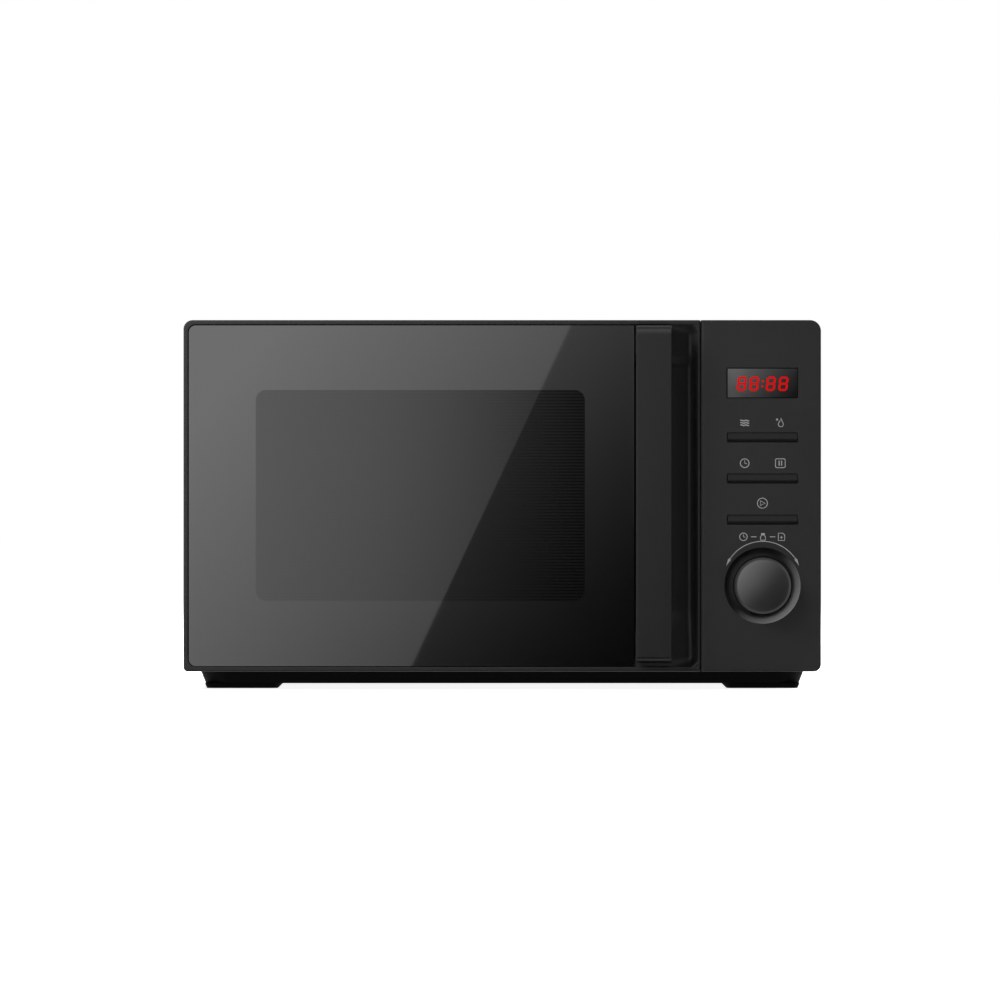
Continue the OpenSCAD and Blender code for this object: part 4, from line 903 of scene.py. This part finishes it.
bar = Piece()
bar.loft([handle_profile(handle.x0), handle_profile(handle.x1)], start=True, end=True)
bar.done("door_handle_bar", "door", "handle_plastic", stands_for=["door_handle"], bevel=0.55, segments=3)

# ---- control panel ----

panel_radii = [0.6, 5.0, 7.5, 0.6]
control_x = lens.cx
SLOT_H = 6.7
KEY_DROP = 0.4
KEY_GAP = 1.95
DISH_R = 26.2
WELL_R = 20.1
DISH_DEEP = 1.25
WELL_DEEP = 4.5
LIP = 0.45
DISPLAY_LIP = 0.3
knob_z = knob.cz


def panel_ring(y, inset):
    return outline(panel.x0, panel.x1, panel.z0, panel.z1, panel_radii, y, inset)


def slot_ring(key, y, grow=0.0):
    x0, x1 = lens.x0 - 0.1, lens.x1 + 0.1
    top = key.z1 - KEY_DROP
    return outline(x0, x1, top - SLOT_H, top, 0.6, y, -grow, steps=4)


def display_ring(y, grow=0.0):
    gap = 0.55
    return outline(lens.x0 - gap, lens.x1 + gap, lens.z0 - gap, lens.z1 + gap, 0.9, y, -grow, steps=4)


def circle(radius, y):
    steps = 96
    return [(control_x + radius * math.cos(TAU * i / steps), y, knob_z + radius * math.sin(TAU * i / steps))
            for i in range(steps)]


case = Piece()
outer = [panel_ring(panel.y1, 0.0)] + [panel_ring(face_y + down, inset) for inset, down in lip(EDGE_ROUND, 4)]
case.loft([panel_ring(panel.y1, 2.5)] + outer)
case.loft([panel_ring(panel.y1, 2.5), panel_ring(face_y + 2.5, 2.5)], end=True)
holes = [slot_ring(k, face_y, LIP) for k in keys]
holes += [display_ring(face_y, DISPLAY_LIP), circle(DISH_R + 0.5, face_y)]
case.plate(outer[-1], holes)
for k in keys:
    rings = [slot_ring(k, face_y + down, inset) for inset, down in lip(LIP)]
    case.loft([slot_ring(k, face_y + 6.0)] + rings, start=True)
rings = [display_ring(face_y + down, inset) for inset, down in lip(DISPLAY_LIP)]
case.loft([display_ring(face_y + 2.2)] + rings, start=True)
dish = [(DISH_R + 0.5, face_y), (DISH_R + 0.3, face_y + 0.05), (DISH_R, face_y + 0.22)]
for i in range(1, 11):
    t = i / 10
    dish.append((DISH_R - (DISH_R - WELL_R - 0.2) * t, face_y + 0.22 + DISH_DEEP * (1.25 * t - 0.25 * t * t)))
smooth_rings = len(dish) - 1
dish += [(WELL_R, face_y + DISH_DEEP + 0.5), (WELL_R - 0.1, face_y + WELL_DEEP), (4.0, face_y + WELL_DEEP)]
case.loft([circle(r, y) for r, y in dish], materials=[0, 0] + [1] * (smooth_rings - 2) + [0, 0, 0], end=True)
ring_look = moulding("dial_ring", (0.005, 0.005, 0.0051), 0.2, height=0.000004, spec=0.6)
case.done("control_panel_moulding", "oven", "panel_plastic", [finish("panel_plastic"), ring_look.material],
          stands_for=["control_panel"])

# Dark sheet behind the gap between door and panel, and a fin inside the gap: painted shade, so the gap reads
# dark
gap_shade = Piece()
gap_shade_back = door.y1 + 0.35
gap_shade.loft([outline(door.x1 - 1.4, panel.x0 + 1.4, door.z0 + 0.6, door.z1 - 0.15, 0.3, y, inset, steps=2)
           for y, inset in ((gap_shade_back, 0.0), (gap_shade_back - 0.15, 0.0), (gap_shade_back - 0.2, 0.05))],
          start=True, end=True)
gap_shade.loft([outline(panel.x0 - 0.5, panel.x0 + 1.0, door.z0 + 0.15, door.z1 - 0.05, 0.1, y, steps=1)
           for y in (face_y + 0.8, face_y + 14.0)], start=True, end=True)
gap_shade.done("seam_seal", "oven", "panel_plastic")

# ---- display ----

CROWN_X = 0.15
CROWN_Z = 0.07


def lens_y(x, z):
    """Front of the slightly crowned display window."""
    u = (x - lens.cx) / (lens.x1 - lens.cx)
    v = (z - lens.cz) / (lens.z1 - lens.cz)
    return lens.y0 + CROWN_X * u * u + CROWN_Z * v * v


window = Piece()
steps_x, steps_z = 24, 12
xs = [lens.x0 + 0.1 + (lens.x1 - lens.x0 - 0.2) * i / steps_x for i in range(steps_x + 1)]
zs = [lens.z0 + 0.1 + (lens.z1 - lens.z0 - 0.2) * j / steps_z for j in range(steps_z + 1)]
rows = window.grid(xs, zs, lens_y)
border = rows[0] + [r[-1] for r in rows[1:]] + rows[-1][-2::-1] + [r[0] for r in rows[-2:0:-1]]
back = window.points([(v.co.x / MM, lens.y1, v.co.z / MM) for v in border])
window.band(border, back)
window.face(back)
smoked = Finish("display_window", (0.0035, 0.0035, 0.0037), 0.05, Specular_IOR_Level=0.5)
smoked.gloss(smoked.noise(0.01, 2), 0.02)
smoked.bump(smoked.noise(0.004, 2), 0.000006, 0.4)
window.done("display_window", "oven", "lens_plastic", [smoked.material], stands_for=["display_lens"], sharp=50)

lit = Finish("display_segments", (0.01, 0.0, 0.0), 0.4, Specular_IOR_Level=0.0,
             Emission_Color=(1.0, 0.008, 0.008, 1), Emission_Strength=0.62)
lit.gloss(lit.noise(0.002, 2), 0.05)

DIGIT_W, DIGIT_H, STROKE, LEAN = 5.0, 8.5, 1.5, math.tan(math.radians(6))
DIGIT_PLACES = (-14.35, -5.8, 5.7, 14.35)
TEXT_Z = lens.cz - 0.5
digits = Piece()


def segment(x0, z0, x1, z1, cx):
    """One bar with pointed ends, leaning with its digit."""
    along = Vector((x1 - x0, z1 - z0)).normalized()
    across = Vector((-along.y, along.x)) * STROKE / 2
    point = STROKE * 0.42
    a, b = Vector((x0, z0)) + along * 0.1, Vector((x1, z1)) - along * 0.1
    flat = [a - along * point * 0.2, a + along * point - across, b - along * point - across,
            b + along * point * 0.2, b - along * point + across, a + along * point + across]
    places = []
    for p in flat:
        x, z = cx + p.x + p.y * LEAN, TEXT_Z + p.y
        places.append((x, lens_y(x, z) - 0.05, z))
    digits.face(digits.points(places))


for offset in DIGIT_PLACES:
    w, h = DIGIT_W / 2, DIGIT_H / 2
    for z in (-h, 0, h):
        segment(-w, z, w, z, lens.cx + offset)
    for x in (-w, w):
        segment(x, -h, x, 0, lens.cx + offset)
        segment(x, 0, x, h, lens.cx + offset)
for z in (-1.75, 1.75):
    spot = []
    for i in range(16):
        x = lens.cx + z * LEAN + 0.85 * math.cos(TAU * i / 16)
        height = TEXT_Z + z + 0.7 * math.sin(TAU * i / 16)
        spot.append((x, lens_y(x, height) - 0.05, height))
    digits.face(digits.points(spot))
digits.done("display_digits", "oven", None, [lit.material])

# ---- keys ----

for key, node in zip(keys, ("upper_key", "middle_key", "start_key")):
    bar = Piece()
    top, low = key.z1 - KEY_DROP - 0.2, key.z1 - KEY_DROP - SLOT_H + KEY_GAP
    side = [(face_y + 4.5, low), (face_y + 4.5, top), (face_y + 0.5, top)]
    side += [(face_y + 0.3 - 1.4 * t ** 1.7, top - 0.2 - (top - low - 0.5) * t)
             for t in (0, 0.2, 0.4, 0.6, 0.8, 1)]
    side += [(side[-1][0] + 0.25, low)]
    bar.loft([[(x, y, z) for y, z in side] for x in (key.x0, key.x1)], start=True, end=True)
    bar.done(node + "_bar", body_of_node[node], "key_plastic", stands_for=[node], bevel=0.15)

# ---- knob ----

knob_r = (knob.x1 - knob.x0) / 2
face_r = knob_r - 1.7
dome = 2.5
dome_y = knob.y0 + dome
profile = [(0.0, knob.y1), (knob_r - 2.5, knob.y1), (knob_r - 2.2, knob.y1), (knob_r - 0.2, knob.y1),
           (knob_r, knob.y1 - 0.25), (knob_r, dome_y + 1.95), (knob_r - 0.08, dome_y + 1.65),
           (knob_r - 0.25, dome_y + 1.45)]
profile += [(face_r + 0.28, dome_y + 0.32), (face_r + 0.08, dome_y + 0.14), (face_r - 0.2, dome_y + 0.02)]
for i in range(1, 13):
    r = face_r * (1 - i / 12)
    profile.append((r, dome_y - dome * (1 - (r / face_r) ** 2)))
turn = Piece()
turn.turned((control_x, 0, knob_z), profile, steps=128)
turn.done("control_knob_cap", "knob", "knob_plastic", stands_for=["control_knob"], sharp=60)

# ---- printed marks ----

ink = Finish("print_grey", (0.3, 0.3, 0.305), 0.6, Specular_IOR_Level=0.1)
ink.tint(ink.noise(0.001, 2), 0.1)
INK_Y = face_y - 0.03
marks = Piece()


def stroke(path, width, closed=False):
    """Printed line of even or given width along a path of (x, z)."""
    count = len(path)
    widths = width if isinstance(width, list) else [width] * count
    left, right = [], []
    for i, (x, z) in enumerate(path):
        before = path[i - 1] if i or closed else path[0]
        after = path[(i + 1) % count] if i < count - 1 or closed else path[-1]
        along = Vector((after[0] - before[0], after[1] - before[1])).normalized()
        offset = Vector((-along.y, along.x)) * widths[i] / 2
        left.append((x + offset.x, INK_Y, z + offset.y))
        right.append((x - offset.x, INK_Y, z - offset.y))
    marks.band(marks.points(left), marks.points(right), closed=closed)


def round_path(cx, cz, radius, start=0.0, end=360.0, steps=40):
    closed = abs(end - start) >= 360
    count = steps if closed else steps + 1
    return [(cx + radius * math.cos(math.radians(start + (end - start) * i / steps)),
             cz + radius * math.sin(math.radians(start + (end - start) * i / steps))) for i in range(count)]


def square_path(cx, cz, w, h, r):
    return [(x, z) for x, _, z in outline(cx - w / 2, cx + w / 2, cz - h / 2, cz + h / 2, r, 0, steps=4)]


THIN = 0.52


def spot(cx, cz, r):
    marks.face(marks.points([(x, INK_Y, z) for x, z in round_path(cx, cz, r, steps=20)]))


def clock(cx, cz, r):
    stroke(round_path(cx, cz, r), THIN, closed=True)
    stroke([(cx, cz + r * 0.6), (cx, cz), (cx + r * 0.5, cz - r * 0.15)], THIN * 0.85)


def waves(cx, cz):
    for k in (-1.6, 0, 1.6):
        path = [(cx - 3 + 6 * i / 24, cz + k + 0.3 * math.sin(TAU * 2 * i / 24)) for i in range(25)]
        stroke(path, 0.7)


def drop(cx, cz):
    """A drop with a small dot, for thawing."""
    path = [(cx + 0.3, cz + 3.1)]
    path += [(cx + 0.3 + 1.75 * math.cos(math.radians(a)), cz - 1.0 + 1.75 * math.sin(math.radians(a)))
             for a in range(40, -221, -20)]
    stroke(path + [(cx - 0.05, cz + 1.6)], THIN)
    spot(cx - 2.2, cz + 2.2, 0.75)


def bars_in_box(cx, cz):
    stroke(square_path(cx, cz, 6.7, 6.1, 0.9), THIN, closed=True)
    for dx in (-0.85, 0.85):
        stroke([(cx + dx, cz - 1.7), (cx + dx, cz + 1.7)], 0.75)


def play(cx, cz, r):
    stroke(round_path(cx, cz, r), THIN, closed=True)
    stroke([(cx - 1.4, cz - 1.6), (cx - 1.4, cz + 1.6), (cx + 1.9, cz)], THIN * 1.2, closed=True)


def bottle(cx, cz):
    body = [(cx - 1.0, cz + 1.2), (cx - 1.7, cz - 0.2), (cx - 1.7, cz - 2.3), (cx + 1.7, cz - 2.3),
            (cx + 1.7, cz - 0.2), (cx + 1.0, cz + 1.2)]
    stroke(body, THIN, closed=True)
    stroke([(cx - 1.3, cz + 2.0), (cx + 1.3, cz + 2.0)], 1.0)


def document(cx, cz):
    page = [(cx - 2.2, cz - 2.5), (cx - 2.2, cz + 2.5), (cx + 0.9, cz + 2.5), (cx + 2.2, cz + 1.1),
            (cx + 2.2, cz - 2.5)]
    stroke(page, THIN, closed=True)
    stroke([(cx - 1.0, cz - 0.4), (cx + 1.0, cz - 0.4)], THIN * 0.9)
    stroke([(cx, cz - 1.4), (cx, cz + 0.6)], THIN * 0.9)


def above(key, rise):
    """Height of a mark over a key."""
    return key.z1 + 0.3 + rise


pair = 12.3
waves(control_x - pair, above(keys[0], 6.0))
drop(control_x + pair, above(keys[0], 6.1))
clock(control_x - pair, above(keys[1], 6.6), 3.0)
bars_in_box(control_x + pair, above(keys[1], 6.6))
play(control_x - 0.1, above(keys[2], 7.4), 3.45)
row_z = knob_z + 33.7
clock(control_x - 13.2, row_z, 2.6)
bottle(control_x + 0.3, row_z)
document(control_x + 13.1, row_z)
for dx in (-6.1, 6.9):
    stroke([(control_x + dx - 1.9, row_z), (control_x + dx + 1.9, row_z)], THIN)
ARC_R, ARC_RISE, ARC_HALF = 27.1, 3.5, 57
stroke(round_path(control_x + 0.1, knob_z + ARC_RISE, ARC_R, 90 - ARC_HALF, 90 + ARC_HALF, 64), 0.5)
for side in (-1, 1):
    turns = [math.radians(ARC_HALF + a) for a in (-3, 1.5, 3.5, 10.5)]
    path = [(control_x + 0.1 + side * ARC_R * math.sin(a), knob_z + ARC_RISE + ARC_R * math.cos(a))
            for a in turns]
    stroke(path, [0.5, 1.9, 1.3, 0.1])
marks.done("panel_marks", "oven", None, [ink.material])

# ---- glass turntable ----

table = Box("glass_turntable")
table_r = (table.x1 - table.x0) / 2
thick = 4.5
top = [(0.0, table.z0 + thick)]
for i in range(1, 5):
    centre = 14 + i * 20.0
    top += [(centre - 2.2, table.z0 + thick), (centre - 0.8, table.z0 + thick + 0.5),
            (centre + 0.8, table.z0 + thick + 0.5), (centre + 2.2, table.z0 + thick)]
top += [(table_r - 12, table.z0 + thick), (table_r - 9.5, table.z0 + thick + 0.9),
        (table_r - 4.2, table.z1 - 0.8), (table_r - 3.0, table.z1 - 0.15), (table_r - 1.8, table.z1),
        (table_r - 0.5, table.z1 - 0.5), (table_r, table.z1 - 1.6), (table_r - 0.4, table.z1 - 3.2),
        (table_r - 6.5, table.z0 + 1.2), (table_r - 8.5, table.z0 + 0.2), (table_r - 10, table.z0),
        (12.0, table.z0), (0.0, table.z0)]
plate = Piece()
plate.turned((table.cx, table.cy, 0), top, steps=128, axis="z")
plate.done("glass_turntable_plate", "turntable", "turntable_glass", stands_for=["glass_turntable"], sharp=50)


# ---- screws with cross recesses ----

def islands(node):
    """Boxes, in millimetres, of the separate solids in a CAD node."""
    bm = bmesh.new()
    bm.from_mesh(frame["nodes"][node].data)
    bmesh.ops.remove_doubles(bm, verts=bm.verts, dist=WELD)
    found, seen = [], set()
    for v in bm.verts:
        if v in seen:
            continue
        group, stack = [], [v]
        seen.add(v)
        while stack:
            at = stack.pop()
            group.append(at.co / MM)
            for e in at.link_edges:
                other = e.other_vert(at)
                if other not in seen:
                    seen.add(other)
                    stack.append(other)
        found.append([[pick(c[k] for c in group) for k in range(3)] for pick in (min, max)])
    bm.free()
    return found


def pan_head(piece, cx, cz, r, y_seat, y_top, turn_angle):
    """Domed head with a cross recess, whose top is at y_top."""
    rise = y_top - y_seat
    radii = [0.0, 0.1, 0.2, 0.3, 0.4, 0.48, 0.56, 0.66, 0.78, 0.88, 0.96, 1.0]
    cross_reach, cross_half = 0.56, 0.13
    steps = 48
    rings = []
    for f in radii:
        ring = []
        for i in range(steps):
            a = TAU * i / steps
            height = rise * (1 - 0.45 * f ** 3)
            off = abs((a - turn_angle + math.pi / 4) % (math.pi / 2) - math.pi / 4)
            if f < cross_reach and f * math.sin(off) < cross_half:
                height -= rise * 0.75 * (1 - f * 0.7)
            ring.append((cx + f * r * math.cos(a), y_seat + height, cz + f * r * math.sin(a)))
        rings.append(ring)
    rings.append([(x, y_seat, z) for x, _, z in rings[-1]])
    piece.loft(rings)


HEAD_H = 1.8
for node in ("case_screws", "panel_screws", "handle_screws"):
    screws = Piece()
    for low, high in islands(node):
        r = (high[0] - low[0]) / 2
        seat_y = high[1] - HEAD_H
        cx, cz = (low[0] + high[0]) / 2, (low[2] + high[2]) / 2
        pan_head(screws, cx, cz, r, seat_y, high[1], random.uniform(0, TAU))
        shank = r * 0.5
        shape = [(shank, seat_y), (shank, low[1] + 1.5), (shank * 0.4, low[1] + 0.1), (0.0, low[1])]
        screws.turned((cx, 0, cz), shape, steps=24)
    screws.done(node + "_heads", body_of_node[node], "screw_steel", stands_for=[node], sharp=40)

# ---- nodes that keep their own shape, with their edges rounded off ----

ROUNDED = {
    "outer_cabinet": 0.35, "base_pan": 0.3, "front_feet": 0.5, "rear_feet": 0.5, "rear_panel": 0.25,
    "wall_spacers": 0.4, "cord_gland": 0.5, "cavity_liner": 0.3, "front_plate": 0.25, "waveguide_cover": 0.15,
    "upper_hinge": 0.25, "lower_hinge": 0.25, "latch_hook": 0.3, "latch_board": 0.3, "roller_ring": 0.5,
    "roller_1": 0.4, "roller_2": 0.4, "roller_3": 0.4, "turntable_coupler": 0.5, "fan_shroud": 0.3,
}
for node, width in ROUNDED.items():
    refined(node, width)

for node, obj in frame["nodes"].items():
    if obj.hide_render:
        continue
    obj.data.materials.clear()
    obj.data.materials.append(finish(slot_of_node[node]))
